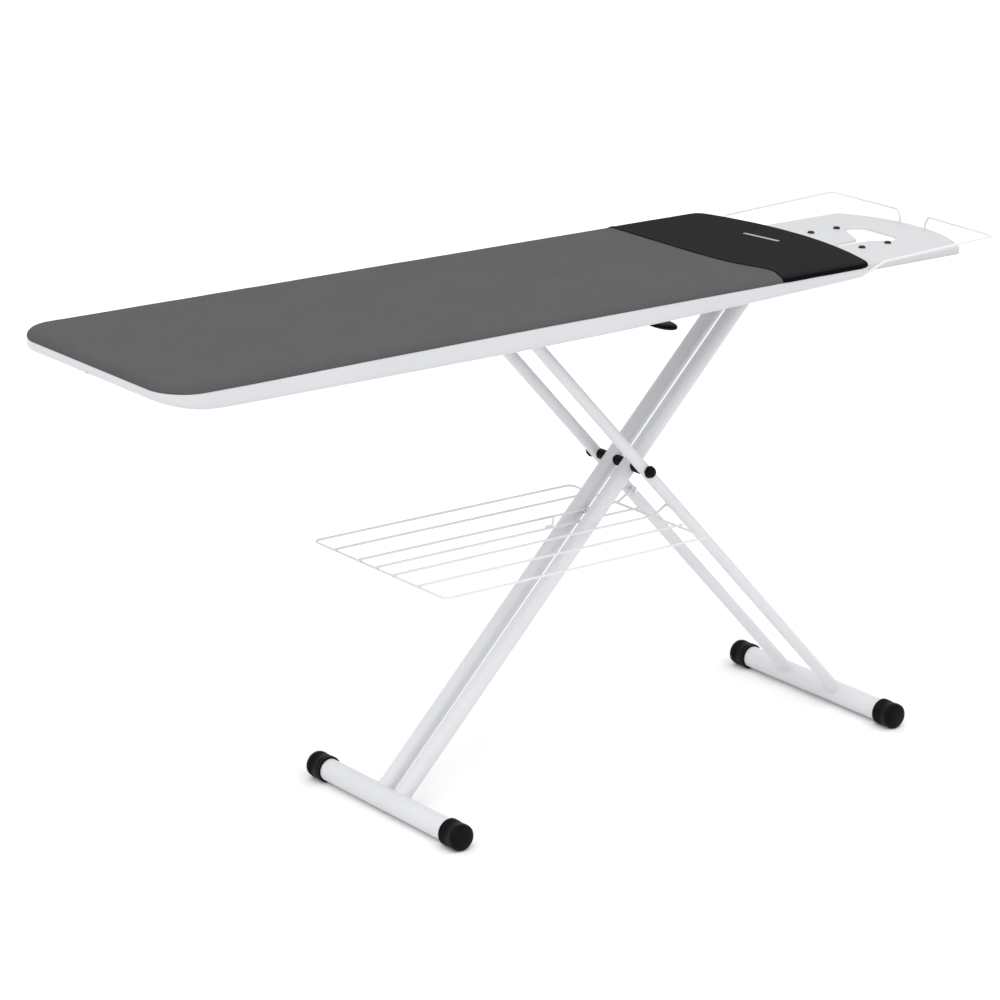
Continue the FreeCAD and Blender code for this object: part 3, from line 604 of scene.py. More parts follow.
below_top = COVER_TOP - points[:, 2]
points[:, 2] -= below_top * lip_drop(points[:, 0]) / (COVER_TOP - HEM_Z)

edge_gap = -signed_distance(board_edge, board_edge_out, points[:, :2])
fade = np.exp(-np.clip(edge_gap, 0, 1) / GATHER_REACH)
points[:, 2] += [unevenness(x, y, share) for (x, y, z), share in zip(points, fade)]


def cut_to(piece, pattern):
    """Gives a cloth its flat pattern, in metres, as its UV map."""
    uv = piece.data.uv_layers.new(name="cloth")
    for loop in piece.data.loops:
        uv.data[loop.index].uv = pattern[loop.vertex_index]


def thicken(piece, name, thickness, offset):
    sheet = piece.modifiers.new(name, "SOLIDIFY")
    sheet.thickness = thickness
    sheet.offset = offset


RIDGE_WIDTH = 0.012
RIDGE_HEIGHT = 0.0009
HEM_EASE = 0.004               # a raised cloth meets the hem's level over this height
EDGE_EASE = 0.012              # and stands out sideways within this distance of the edge


def cloth_piece(name, chosen, lift, material, ridge=False):
    """One cloth of the cover, raised by lift, with its cut pattern as its UV map."""
    used = sorted({n for f in chosen for n in f})
    renumber = {n: k for k, n in enumerate(used)}
    shape = points[used].copy()
    pattern = flat[used]
    gaps = -signed_distance(board_edge, board_edge_out, shape[:, :2])
    above_hem = shape[:, 2] - HEM_Z + lip_drop(shape[:, 0])
    shape[:, 2] += lift * np.clip(above_hem / HEM_EASE, 0, 1)
    rows_out = outward_at(within_cloth, shape[:, :2])
    shape[:, :2] += rows_out * (lift * np.clip(1 - gaps / EDGE_EASE, 0, 1))[:, None]
    if ridge:
        back = np.clip((shape[:, 0] - seam_at(shape[:, 1])) / RIDGE_WIDTH, 0, 1)
        shape[:, 2] += RIDGE_HEIGHT * np.sin(math.pi * back) ** 2
    piece = new_piece(name, shape, [tuple(renumber[n] for n in f) for f in chosen], material)
    cut_to(piece, pattern)
    thicken(piece, "cloth thickness", CLOTH_THICKNESS, 1.0)
    return piece


weave, given, result = effect_group(
    "plain weave",
    {"Thread": (0.1, 0.1, 0.1, 1.0), "Light Thread": (0.2, 0.2, 0.2, 1.0),
     "Pitch": 0.0008, "Slub": 0.5},
    {"Colour": "Color", "Height": "Float", "Roughness": "Float"})
cloth_uv = put(weave, "UVMap", uv_map="cloth").outputs["UV"]
threads = put(weave, "VectorMath", {0: cloth_uv, 1: given["Pitch"]}, operation="DIVIDE").outputs[0]
apart = put(weave, "SeparateXYZ", {0: threads}).outputs
profiles, counts = [], []
for axis in ("X", "Y"):
    half_turn = worked(weave, "MULTIPLY", worked(weave, "FRACT", apart[axis]), math.pi)
    profiles.append(worked(weave, "SINE", half_turn))
    counts.append(worked(weave, "FLOOR", apart[axis]))
over = worked(weave, "FLOORED_MODULO", worked(weave, "ADD", *counts), 2.0)
crossing = put(weave, "Mix", {0: over, 2: profiles[0], 3: profiles[1]}, data_type="FLOAT")
slubs = []
for stretch in ((40.0, 900.0, 1.0), (900.0, 40.0, 1.0)):
    drawn = put(weave, "VectorMath", {0: cloth_uv, 1: stretch}, operation="MULTIPLY").outputs[0]
    slubs.append(noisy(weave, drawn, 1.0, 3.0))
streak = spread_over(weave, worked(weave, "ADD", *slubs), From_Min=0.8, From_Max=1.2)
streak = worked(weave, "MULTIPLY", streak, given["Slub"])
two_tone = mixed(weave, streak, given["Thread"], given["Light Thread"])
patchy = noisy(weave, cloth_uv, 9.0, 4.0)
patch_tone = spread_over(weave, patchy, From_Min=0.3, From_Max=0.7, To_Min=0.95, To_Max=1.04)
weave.links.new(mixed(weave, 1.0, two_tone, patch_tone, "MULTIPLY"), result["Colour"])
weave.links.new(crossing.outputs[0], result["Height"])
weave.links.new(spread_over(weave, patchy, To_Min=0.80, To_Max=0.95), result["Roughness"])


def cloth_finish(name, thread, light_thread, pitch, slub, depth, gloss):
    inputs = {"Thread": thread, "Light Thread": light_thread, "Pitch": pitch, "Slub": slub}
    return grouped_finish(name, weave, inputs, depth, 0.7, Specular_IOR_Level=gloss)


grey_cotton = cloth_finish("grey cotton", (0.076, 0.076, 0.078, 1), (0.092, 0.092, 0.094, 1),
                           pitch=0.0009, slub=0.8, depth=0.00012, gloss=0.10)
black_heat_cloth = cloth_finish("black heat cloth", (0.0075, 0.0075, 0.0085, 1),
                                (0.012, 0.012, 0.014, 1),
                                pitch=0.0006, slub=0.6, depth=0.00008, gloss=0.08)
# A darker black for the end pocket's turned-down side: painted shade.
black_painted_shade = cloth_finish("black cloth painted shade", (0.0022, 0.0022, 0.0025, 1),
                             (0.004, 0.004, 0.0045, 1),
                             pitch=0.0005, slub=0.5, depth=0.00008, gloss=0.04)

grey_faces = [f for f, x in zip(faces, centre_x) if x < seam_column + 1.5 * column_pitch]
black_faces = [f for f, x in zip(faces, centre_x) if x > seam_column]
grey_cover = cloth_piece("grey_cotton_cover", grey_faces, -CLOTH_THICKNESS * 0.5, grey_cotton)
black_cover = cloth_piece("black_end_pocket", black_faces, 0.0003, black_heat_cloth, ridge=True)
# Faces of the end pocket lower than a narrow band below its top take the darker black, a painted
# shade on its turned-down side.
black_cover.data.materials.append(black_painted_shade)
for face in black_cover.data.polygons:
    if face.center.z < COVER_TOP - SHADED_SIDE_DEPTH:
        face.material_index = 1
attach(grey_cover, "board")
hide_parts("grey_cover")
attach(black_cover, "board")
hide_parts("black_end_cover")


# ---------------------------------------------------------------- Pocket hem and woven bar
# The end pocket's front hem is sewn down with one row of dark lockstitch, and a small plain
# bar of light ribbon is sewn on near the crown.
def shaped_mesh(name, rows):
    """A closed turned or lofted body: rows of rings, each end drawn in to a pole."""
    points, faces = swept_tube(rows, closed_path=False)
    mesh = bpy.data.meshes.new(name)
    mesh.from_pydata([tuple(p) for p in points], [], faces)
    mesh.shade_smooth()
    work = bmesh.new()
    work.from_mesh(mesh)
    bmesh.ops.remove_doubles(work, verts=work.verts, dist=1e-6)
    bmesh.ops.dissolve_degenerate(work, edges=work.edges, dist=1e-7)
    bmesh.ops.recalc_face_normals(work, faces=work.faces)
    work.to_mesh(mesh)
    work.free()
    return mesh


def turned_rows(profile, around=12):
    """Rings about +Z for a profile of (radius, height) that starts and ends on the axis."""
    turn = np.linspace(0, 2 * math.pi, around, endpoint=False)
    return np.array([[(r * math.cos(t), r * math.sin(t), z) for t in turn] for r, z in profile])


def open_tree(name, inputs, output):
    """A Geometry Nodes tree with its named sockets, and what its inputs give."""
    tree = bpy.data.node_groups.new(name, "GeometryNodeTree")
    for socket, kind in inputs.items():
        tree.interface.new_socket(socket, in_out="INPUT", socket_type="NodeSocket" + kind)
    tree.interface.new_socket(output, in_out="OUTPUT", socket_type="NodeSocketGeometry")
    return tree, tree.nodes.new("NodeGroupInput").outputs


def close_tree(tree, geometry, finish, output):
    """Ends a tree: real geometry in its finish."""
    real = put(tree, "GeometryNodeRealizeInstances", {"Geometry": geometry}).outputs["Geometry"]
    painted = put(tree, "GeometryNodeSetMaterial", {"Geometry": real, "Material": finish})
    put(tree, "NodeGroupOutput", {output: painted.outputs["Geometry"]})


# Copies of one shape on every point, each standing along that point's "lie".
SET_IN_PLACE, given = open_tree(
    "set in place",
    {"Places": "Geometry", "Shape": "Object", "Size": "Float", "Size Spread": "Float",
     "Finish": "Material"}, "Set Pieces")
shape = put(SET_IN_PLACE, "GeometryNodeObjectInfo", {"Object": given["Shape"]})
lie = put(SET_IN_PLACE, "GeometryNodeInputNamedAttribute", {"Name": "lie"},
          data_type="FLOAT_VECTOR")
turn = put(SET_IN_PLACE, "FunctionNodeAlignRotationToVector",
           {"Vector": lie.outputs["Attribute"]}, axis="Z")
least = worked(SET_IN_PLACE, "SUBTRACT", given["Size"], given["Size Spread"])
spread = put(SET_IN_PLACE, "FunctionNodeRandomValue", {"Seed": 7, 2: least, 3: given["Size"]},
             data_type="FLOAT")
copies = put(SET_IN_PLACE, "GeometryNodeInstanceOnPoints",
             {"Points": given["Places"], "Instance": shape.outputs["Geometry"],
              "Rotation": turn.outputs["Rotation"], "Scale": spread.outputs[1]})
close_tree(SET_IN_PLACE, copies.outputs["Instances"], given["Finish"], "Set Pieces")


def grown(name, source, tree, inputs):
    """Runs a tree on a throw-away object and keeps the result as a plain mesh piece."""
    modifier = source.modifiers.new("grow", "NODES")
    modifier.node_group = tree
    for item in tree.interface.items_tree:
        if item.in_out == "INPUT" and item.name in inputs:
            modifier[item.identifier] = inputs[item.name]
    bpy.context.view_layer.update()
    evaluated = source.evaluated_get(bpy.context.evaluated_depsgraph_get())
    mesh = bpy.data.meshes.new_from_object(evaluated)
    mesh.name = name
    piece = linked(name, mesh)
    source.modifiers.remove(modifier)
    bpy.data.objects.remove(source)
    return piece


def set_in_place(name, places, lies, shape_rows, material, size=1.0, spread=0.0):
    """Copies of a turned shape at the places, each along its own lie, as one piece."""
    seats = bpy.data.meshes.new(name + "_seats")
    seats.from_pydata([tuple(p) for p in places], [], [])
    lie = seats.attributes.new("lie", "FLOAT_VECTOR", "POINT")
    lie.data.foreach_set("vector", np.array(lies, dtype=np.float32).ravel())
    source = linked(name + "_seats", seats)
    shape = linked(name + "_shape", shaped_mesh(name + "_shape", shape_rows))
    piece = grown(name, source, SET_IN_PLACE,
                  {"Shape": shape, "Size": size, "Size Spread": spread, "Finish": material})
    bpy.data.objects.remove(shape)
    return piece


def cloth_top(x, y, gap):
    """Height of the cover's face at a place, with its faint unevenness."""
    return COVER_TOP + unevenness(x, y, math.exp(-max(gap, 0.0) / GATHER_REACH))


STITCH_PITCH = 0.0042
STITCH_LENGTH = 0.0030
STITCH_R = 0.00042
HEM_WIDTH = 0.006
STITCH_EDGE_GAP = 0.012
STITCH_SEAT = 0.0011           # the thread lies on the raised hem, this far above the cloth
stitch_half = [(STITCH_R, 0.3), (STITCH_R * 0.7, 0.46), (0, 0.5)]
stitch_rows = turned_rows([(r, -STITCH_LENGTH * share) for r, share in reversed(stitch_half)]
                          + [(r, STITCH_LENGTH * share) for r, share in stitch_half], around=6)
stitch_y = np.arange(-HALF_WIDTH + STITCH_EDGE_GAP, HALF_WIDTH - STITCH_EDGE_GAP, STITCH_PITCH)
stitch_x = seam_at(stitch_y) + HEM_WIDTH
slope = np.gradient(stitch_x, stitch_y)
stitch_places = [(x, y, cloth_top(x, y, HALF_WIDTH - abs(y)) + CLOTH_THICKNESS + STITCH_SEAT)
                 for x, y in zip(stitch_x, stitch_y)]
stitch_lies = [(m, 1.0, 0.0) for m in slope]
thread, tree, shader = finish_named("dark sewing thread", Roughness=0.75, Specular_IOR_Level=0.2)
where = put(tree, "TexCoord").outputs["Object"]
ply = put(tree, "TexWave", {"Vector": where, "Scale": 900.0, "Distortion": 2.0}).outputs["Fac"]
ply_tone = two_tones(tree, ply, (0.012, 0.012, 0.013, 1), (0.040, 0.040, 0.042, 1))
dress(tree, shader, ply_tone, ply, 0.0001)
hem_stitches = set_in_place("pocket_hem_stitches", stitch_places, stitch_lies, stitch_rows, thread)
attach(hem_stitches, "board")

BAR_START = np.array([0.481, 0.047])
BAR_END = np.array([0.492, -0.027])
BAR_HALF_WIDTH = 0.0036
BAR_THICKNESS = 0.0005
BAR_PUFF = 0.0004
BAR_STEPS = 24
BAR_ACROSS = 5                 # points across the bar
along = (BAR_END - BAR_START) / np.linalg.norm(BAR_END - BAR_START)
across = np.array([-along[1], along[0]])
bar_points, bar_faces = [], []
for i in range(BAR_STEPS + 1):
    for j in range(BAR_ACROSS):
        side = (j - 2) / 2
        x, y = BAR_START + (BAR_END - BAR_START) * i / BAR_STEPS + across * side * BAR_HALF_WIDTH
        edge = max(abs(side), abs(2 * i / BAR_STEPS - 1))
        puff = BAR_PUFF * (1 - edge ** 6)
        bar_points.append((x, y, cloth_top(x, y, 1.0) + CLOTH_THICKNESS + BAR_THICKNESS + puff))
for i in range(BAR_STEPS):
    for j in range(BAR_ACROSS - 1):
        a = i * BAR_ACROSS + j
        bar_faces.append((a, a + 1, a + BAR_ACROSS + 1, a + BAR_ACROSS))
light_ribbon = cloth_finish("light ribbon", (0.30, 0.30, 0.305, 1), (0.42, 0.42, 0.42, 1),
                            pitch=0.0005, slub=0.9, depth=0.0001, gloss=0.15)
woven_bar = new_piece("woven_bar", bar_points, bar_faces, light_ribbon)
cut_to(woven_bar, [(x, y) for x, y, z in bar_points])
thicken(woven_bar, "ribbon thickness", BAR_THICKNESS, 0.0)
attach(woven_bar, "board")


# ---------------------------------------------------------------- Rim rivets and plated steel
# Two domed rivets close the rim's joint at the plain end.  They, the axles, the lock and the
# springs are bare zinc-plated steel, faintly spangled.
dome_rows = turned_rows([(0, -0.0012), (0.0024, -0.0012), (0.0027, -0.0006), (0.0026, 0.0002),
                         (0.0021, 0.0007), (0.0012, 0.00095), (0, 0.0010)], around=16)

plated, given, result = effect_group(
    "zinc plate",
    {"Bright": (0.72, 0.73, 0.75, 1.0), "Dull": (0.50, 0.50, 0.51, 1.0), "Spangle": 260.0},
    {"Colour": "Color", "Roughness": "Float", "Height": "Float"})
where = put(plated, "TexCoord").outputs["Object"]
spangle = put(plated, "TexVoronoi", {"Vector": where, "Scale": given["Spangle"]})
smear = noisy(plated, where, 60.0, 6.0)
mottle = worked(plated, "MULTIPLY", spangle.outputs["Distance"], smear)
mottle = spread_over(plated, mottle, From_Min=0.1, From_Max=0.5)
plated.links.new(mixed(plated, mottle, given["Bright"], given["Dull"]), result["Colour"])
plated.links.new(spread_over(plated, mottle, To_Min=0.22, To_Max=0.45), result["Roughness"])
plated.links.new(smear, result["Height"])


def plated_steel(name, bright, dull, spangle_size):
    inputs = {"Bright": bright, "Dull": dull, "Spangle": spangle_size}
    return grouped_finish(name, plated, inputs, 0.00005, 0.5, Metallic=1.0)


zinc_plate = plated_steel("zinc plate", (0.72, 0.73, 0.75, 1.0), (0.50, 0.50, 0.51, 1.0), 260.0)
spring_steel = plated_steel("spring steel", (0.45, 0.45, 0.46, 1.0), (0.28, 0.28, 0.29, 1.0), 420.0)
finish_nodes(zinc_plate, "height_ratchet", "leg_hinge_axle", "pivot_axle", "slide_axle",
             "lock_pawl", "release_rod", "release_blade", "rack_rest_pin", "rack_studs")
finish_nodes(spring_steel, "pawl_spring", "lever_spring")

RIVET_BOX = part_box("nose_rivets")
RIVET_R = 0.0024
rivet_z = (RIVET_BOX[0].z + RIVET_BOX[1].z) / 2
rivet_places = [(NOSE_X, RIVET_BOX[0].y + RIVET_R, rivet_z),
                (NOSE_X, RIVET_BOX[1].y - RIVET_R, rivet_z)]
rivets = set_in_place("domed_rivets", rivet_places, [(-1, 0, 0)] * 2, dome_rows, zinc_plate)
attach(rivets, "board")
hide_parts("nose_rivets")


# ---------------------------------------------------------------- Iron rest
# A pressed steel tray with its edge rolled over all round, a hooked window left by a broad
# tongue, and two raised bands that carry four rubber domes.
REST_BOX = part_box("iron_rest_plate")
REST_ARCH_R = 0.253
REST_CORNER_R = 0.015
REST_ROLL_R = 0.0035
REST_SHEET = 0.0012
WINDOW_LIP = 0.0042
WINDOW_X = (0.629, 0.757)
WINDOW_Y = (-0.050, 0.054)
WINDOW_R = 0.024
TONGUE_TIP = (0.692, -0.004)
TONGUE_SIDE_Y = -0.018
TONGUE_SLANT = 0.5             # how fast the tongue's tip runs back across the board
TONGUE_R = 0.012
NEAR_EDGE_Y = -0.030           # the window's near edge beside the tongue
NEAR_SWELL = 0.022             # and how much further out it runs at the free end
NEAR_SWELL_X = (0.688, 0.738)
BAND_Y = 0.063
BAND_HALF_WIDTH = 0.011
BAND_X = (0.622, 0.742)
BAND_EASE = 0.012
DISH_DEPTH = 0.0008
DISH_REACH = 0.02
REST_STEP = 0.0035
rest_edge, rest_edge_out = arched_outline(REST_BOX[0].x, REST_BOX[1].x, REST_BOX[1].y, 0.002,
                                          REST_CORNER_R, REST_ARCH_R, 0.002)


def rounded_corner(past, radius):
    """Distance from a rounded corner, for how far places lie past each of its sides."""
    reach = past + radius
    return np.linalg.norm(np.maximum(reach, 0), axis=1) + np.minimum(reach.max(1), 0) - radius


def window_distance(places):
    """Distance from the window's edge in plan, negative in the opening.

    A broad slanting tongue leaves a hooked opening: wide at the free end, and narrow
    along the near side, where the tray's edge swells towards it.
    """
    x, y = places[:, 0], places[:, 1]
    low = np.array([WINDOW_X[0], WINDOW_Y[0]])
    high = np.array([WINDOW_X[1], WINDOW_Y[1]])
    opening = rounded_corner(np.abs(places - (low + high) / 2) - (high - low) / 2, WINDOW_R)
    start, end = NEAR_SWELL_X
    swell = np.clip((x - start) / (end - start), 0, 1)
    near_edge = NEAR_EDGE_Y - NEAR_SWELL * swell * swell * (3 - 2 * swell)
    beyond_tip = (x - TONGUE_TIP[0]) - TONGUE_SLANT * (y - TONGUE_TIP[1])
    beyond_tip /= math.sqrt(1 + TONGUE_SLANT ** 2)
    tongue = rounded_corner(np.stack([beyond_tip, TONGUE_SIDE_Y - y], -1), TONGUE_R)
    return np.maximum(np.maximum(opening, (near_edge - y) * 0.9), -tongue)


def within_rest(places):
    outside = signed_distance(rest_edge, rest_edge_out, places)
    return np.maximum(outside, -window_distance(places)) + REST_ROLL_R


plan, faces, loops = plan_mesh(within_rest, (REST_BOX[0].x, REST_BOX[0].y),
                               (REST_BOX[1].x, REST_BOX[1].y), REST_STEP)
band = np.exp(-((np.abs(plan[:, 1]) - BAND_Y) / BAND_HALF_WIDTH) ** 4)
band *= np.clip((plan[:, 0] - BAND_X[0]) / BAND_EASE, 0, 1)
band *= np.clip((BAND_X[1] - plan[:, 0]) / BAND_EASE, 0, 1)
dish = DISH_DEPTH * np.clip(-within_rest(plan) / DISH_REACH, 0, 1) ** 2 * (1 - band)
rest_top = REST_BOX[1].z
points = np.column_stack([plan, rest_top - dish])
loops.sort(key=len, reverse=True)
for number, loop in enumerate(loops):
    turn_down = REST_BOX[0].z if number == 0 else rest_top - WINDOW_LIP
    edge_out = outward_at(within_rest, plan[loop])
    rings = [(REST_ROLL_R * math.sin(t), rest_top - REST_ROLL_R * (1 - math.cos(t)))
             for t in np.linspace(0.2, 1.0, 5) * math.pi / 2]
    rings += [(REST_ROLL_R, (rest_top - REST_ROLL_R + turn_down) / 2),
              (REST_ROLL_R - 0.0003, turn_down)]
    points, faces, last = skirt(points, list(faces), loop, edge_out, rings)
pressed_rest = new_piece("pressed_iron_rest", points, faces, shaded_tray_coat)
thicken(pressed_rest, "sheet thickness", REST_SHEET, -1.0)
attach(pressed_rest, "board")
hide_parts("iron_rest_plate")

rubber, tree, shader = finish_named("black rubber", Specular_IOR_Level=0.2)
where = put(tree, "TexCoord").outputs["Object"]
dust = noisy(tree, where, 180.0, 6.0)
dusty = two_tones(tree, dust, (0.010, 0.010, 0.010, 1), (0.028, 0.028, 0.027, 1))
dress(tree, shader, dusty, dust, 0.0001,
      roughness=spread_over(tree, dust, To_Min=0.55, To_Max=0.8))

BUMPER_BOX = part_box("iron_rest_bumpers")
BUMPER_R = 0.006
bumper_low, bumper_high = BUMPER_BOX
bumper_height = bumper_high.z - bumper_low.z
bumper_rows = turned_rows([(0, -0.001), (BUMPER_R * 0.8, -0.001), (BUMPER_R, 0.0),
                           (BUMPER_R, bumper_height * 0.35),
                           (BUMPER_R * 0.93, bumper_height * 0.62),
                           (BUMPER_R * 0.72, bumper_height * 0.86),
                           (BUMPER_R * 0.4, bumper_height * 0.97), (0, bumper_height)], around=24)
bumper_places = [(x, y, bumper_low.z)
                 for x in (bumper_low.x + BUMPER_R, bumper_high.x - BUMPER_R)
                 for y in (bumper_low.y + BUMPER_R, bumper_high.y - BUMPER_R)]
bumpers = set_in_place("rubber_bumpers", bumper_places, [(0, 0, 1)] * 4, bumper_rows, rubber)
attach(bumpers, "board")
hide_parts("iron_rest_bumpers")

SCREW_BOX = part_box("iron_rest_screws")
SCREW_R = 0.0045
INNER_SCREWS_X = (0.513, 0.620)
screw_rows = turned_rows([(0, 0.0004), (SCREW_R * 0.6, 0.0004), (SCREW_R, 0.0),
                          (SCREW_R, -0.0011), (SCREW_R * 0.86, -0.0019),
                          (SCREW_R * 0.55, -0.0024), (SCREW_R * 0.40, -0.0024),
                          (SCREW_R * 0.30, -0.0012), (0, -0.0012)], around=18)
screw_y = SCREW_BOX[1].y - SCREW_R
screw_x = (SCREW_BOX[0].x + SCREW_R, *INNER_SCREWS_X, SCREW_BOX[1].x - SCREW_R)
screw_places = [(x, y, SCREW_BOX[1].z) for x in screw_x for y in (-screw_y, screw_y)]
screws = set_in_place("arm_screws", screw_places, [(0, 0, 1)] * 8, screw_rows, zinc_plate)
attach(screws, "board")
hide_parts("iron_rest_screws")


# ---------------------------------------------------------------- Moulded black parts
# Foot caps, axle caps, spacers, bushes and slide shoes are injection-moulded black nylon,
# with a fine spark-eroded texture and a satin face where hands and floors have rubbed them.
moulded, given, result = effect_group(
    "moulded plastic",
    {"Colour": (0.012, 0.012, 0.013, 1.0), "Rubbed": (0.030, 0.030, 0.032, 1.0),
     "Roughness": 0.38, "Texture": 1800.0},
    {"Colour": "Color", "Roughness": "Float", "Height": "Float"})
where = put(moulded, "TexCoord").outputs["Object"]
broad = noisy(moulded, where, 38.0, 5.0)
rub = spread_over(moulded, broad, From_Min=0.5, From_Max=0.75)
moulded.links.new(mixed(moulded, rub, given["Colour"], given["Rubbed"]), result["Colour"])
moulded.links.new(worked(moulded, "MULTIPLY_ADD", broad, 0.18, given["Roughness"]),
                  result["Roughness"])
moulded.links.new(noisy(moulded, where, given["Texture"], 2.0), result["Height"])


def moulded_plastic(name, colour, rubbed, roughness, texture):
    inputs = {"Colour": colour, "Rubbed": rubbed, "Roughness": roughness, "Texture": texture}
    return grouped_finish(name, moulded, inputs, 0.00006, 0.6, Specular_IOR_Level=0.07)


black_nylon = moulded_plastic("black nylon", (0.0022, 0.0022, 0.0024, 1),
                              (0.006, 0.006, 0.0065, 1), roughness=0.30, texture=1500.0)
slide_nylon = moulded_plastic("slide nylon", (0.020, 0.020, 0.021, 1),
                              (0.040, 0.040, 0.042, 1), roughness=0.5, texture=900.0)
finish_nodes(black_nylon, "pivot_spacers", "centre_spacer")
finish_nodes(slide_nylon, "leg_hinge_bushes", "pivot_bushes", "slide_bushes",
             "slide_shoe_far", "slide_shoe_near")


def cross_turned(profile, x, z, around, fluting=0.0, flutes=0, sole=None):
    """Rings about a line across the board, for a profile of (radius, y, flute share)."""
    turn = np.linspace(0, 2 * math.pi, around, endpoint=False)
    rows = []
    for radius, y, share in profile:
        r = radius - fluting * share * (0.5 + 0.5 * np.cos(flutes * turn))
        ring = np.column_stack([x + r * np.cos(turn), np.full(around, y), z + r * np.sin(turn)])
        if sole is not None:
            ring[:, 2] = np.maximum(ring[:, 2], sole)
        rows.append(ring)
    return np.array(rows)


def joined_mesh(name, meshes):
    work = bmesh.new()
    for mesh in meshes:
        work.from_mesh(mesh)
    joined = bpy.data.meshes.new(name)
    work.to_mesh(joined)
    work.free()
    joined.shade_smooth()
    return joined


# ---------------------------------------------------------------- Foot caps
# Each end of a foot bar wears a pushed-on cap with a plain collar, a shallow-fluted grip
# band, a rounded nose and a flat sole.
TUBE_R = 0.0191
CAP_FLUTES = 28
CAP_FLUTE_DEPTH = 0.0007
SOLE_GAP = 0.0001


def foot_cap(node, body):
    """A cap round its bar's end, from a profile of (radius, place along it, flute share)."""
    low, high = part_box(node)
    side = 1.0 if high.y > 0 else -1.0
    x = (low.x + high.x) / 2
    radius = (high.x - low.x) / 2
    z = high.z - radius
    inner = low.y if side > 0 else high.y
    outer = high.y if side > 0 else low.y
    length = abs(outer - inner)
    profile = [(0.0, length, 0), (radius * 0.35, length - 0.0001, 0),
               (radius * 0.70, length - 0.0009, 0), (radius * 0.86, length - 0.0021, 0),
               (radius * 0.955, length - 0.0043, 0), (radius * 0.992, length - 0.0072, 0),
               (radius, length - 0.0105, 0), (radius, length - 0.0125, 0),
               (radius - 0.0004, length - 0.0132, 1), (radius - 0.0004, 0.0105, 1),
               (radius, 0.0098, 0), (radius, 0.0090, 0), (radius - 0.0010, 0.0084, 0),
               (radius - 0.0010, 0.0072, 0), (radius, 0.0066, 0), (radius, 0.0012, 0),
               (radius - 0.0009, 0.0002, 0), (radius - 0.0022, 0.0, 0), (TUBE_R, 0.0003, 0),
               (TUBE_R, 0.0060, 0), (TUBE_R * 0.6, 0.0062, 0), (0.0, 0.0062, 0)]
    placed = [(r, inner + side * along_cap, share) for r, along_cap, share in profile]
    rows = cross_turned(placed, x, z, 112, CAP_FLUTE_DEPTH, CAP_FLUTES, low.z + SOLE_GAP)
    cap = finished_body("moulded_" + node, shaped_mesh(node + "_body", rows), black_nylon)
    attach(cap, body)
    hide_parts(node)


for end, body in (("left", "inner_legs"), ("right", "outer_legs")):
    for place in ("far", "near"):
        foot_cap(end + "_foot_cap_" + place, body)


# ---------------------------------------------------------------- Pivot caps
# A domed push-on cap with a waisted skirt hides each end of the centre axle.
PIVOT_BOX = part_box("pivot_end_caps")
pivot_x = (PIVOT_BOX[0].x + PIVOT_BOX[1].x) / 2
pivot_z = (PIVOT_BOX[0].z + PIVOT_BOX[1].z) / 2
pivot_r = (PIVOT_BOX[1].z - PIVOT_BOX[0].z) / 2
PIVOT_CAP_LENGTH = 0.0110
pivot_start = PIVOT_BOX[1].y - PIVOT_CAP_LENGTH
pivot_profile = [(0.0, 0.0), (pivot_r * 0.9, 0.0), (pivot_r, 0.0006), (pivot_r, 0.0024),
                 (pivot_r * 0.90, 0.0030), (pivot_r * 0.88, 0.0052), (pivot_r * 0.84, 0.0072),
                 (pivot_r * 0.72, 0.0090), (pivot_r * 0.50, 0.0103), (pivot_r * 0.25, 0.0109),
                 (0.0, PIVOT_CAP_LENGTH)]
pivot_meshes = []
for side in (-1, 1):
    placed = [(r, side * (pivot_start + out_by), 0) for r, out_by in pivot_profile]
    rows = cross_turned(placed, pivot_x, pivot_z, 40)
    pivot_meshes.append(shaped_mesh("pivot_cap_side", rows))
pivot_mesh = joined_mesh("domed_pivot_caps", pivot_meshes)
pivot_caps = finished_body("domed_pivot_caps", pivot_mesh, black_nylon)
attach(pivot_caps, "inner_legs")
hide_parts("pivot_end_caps")


# ---------------------------------------------------------------- Release lever
# One moulding: a hub pressed on the steel rod, a slim arm, and a leaf-shaped paddle, slightly
# dished on top, which the fingers pull up against the board.
LEVER_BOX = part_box("release_lever")
ROD_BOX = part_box("release_rod")
lever_x = (LEVER_BOX[0].x + LEVER_BOX[1].x) / 2
rod_z = (ROD_BOX[0].z + ROD_BOX[1].z) / 2
rod_y = (ROD_BOX[0].y + ROD_BOX[1].y) / 2
tip_y = LEVER_BOX[0].y
leaf_z = LEVER_BOX[0].z + 0.0045
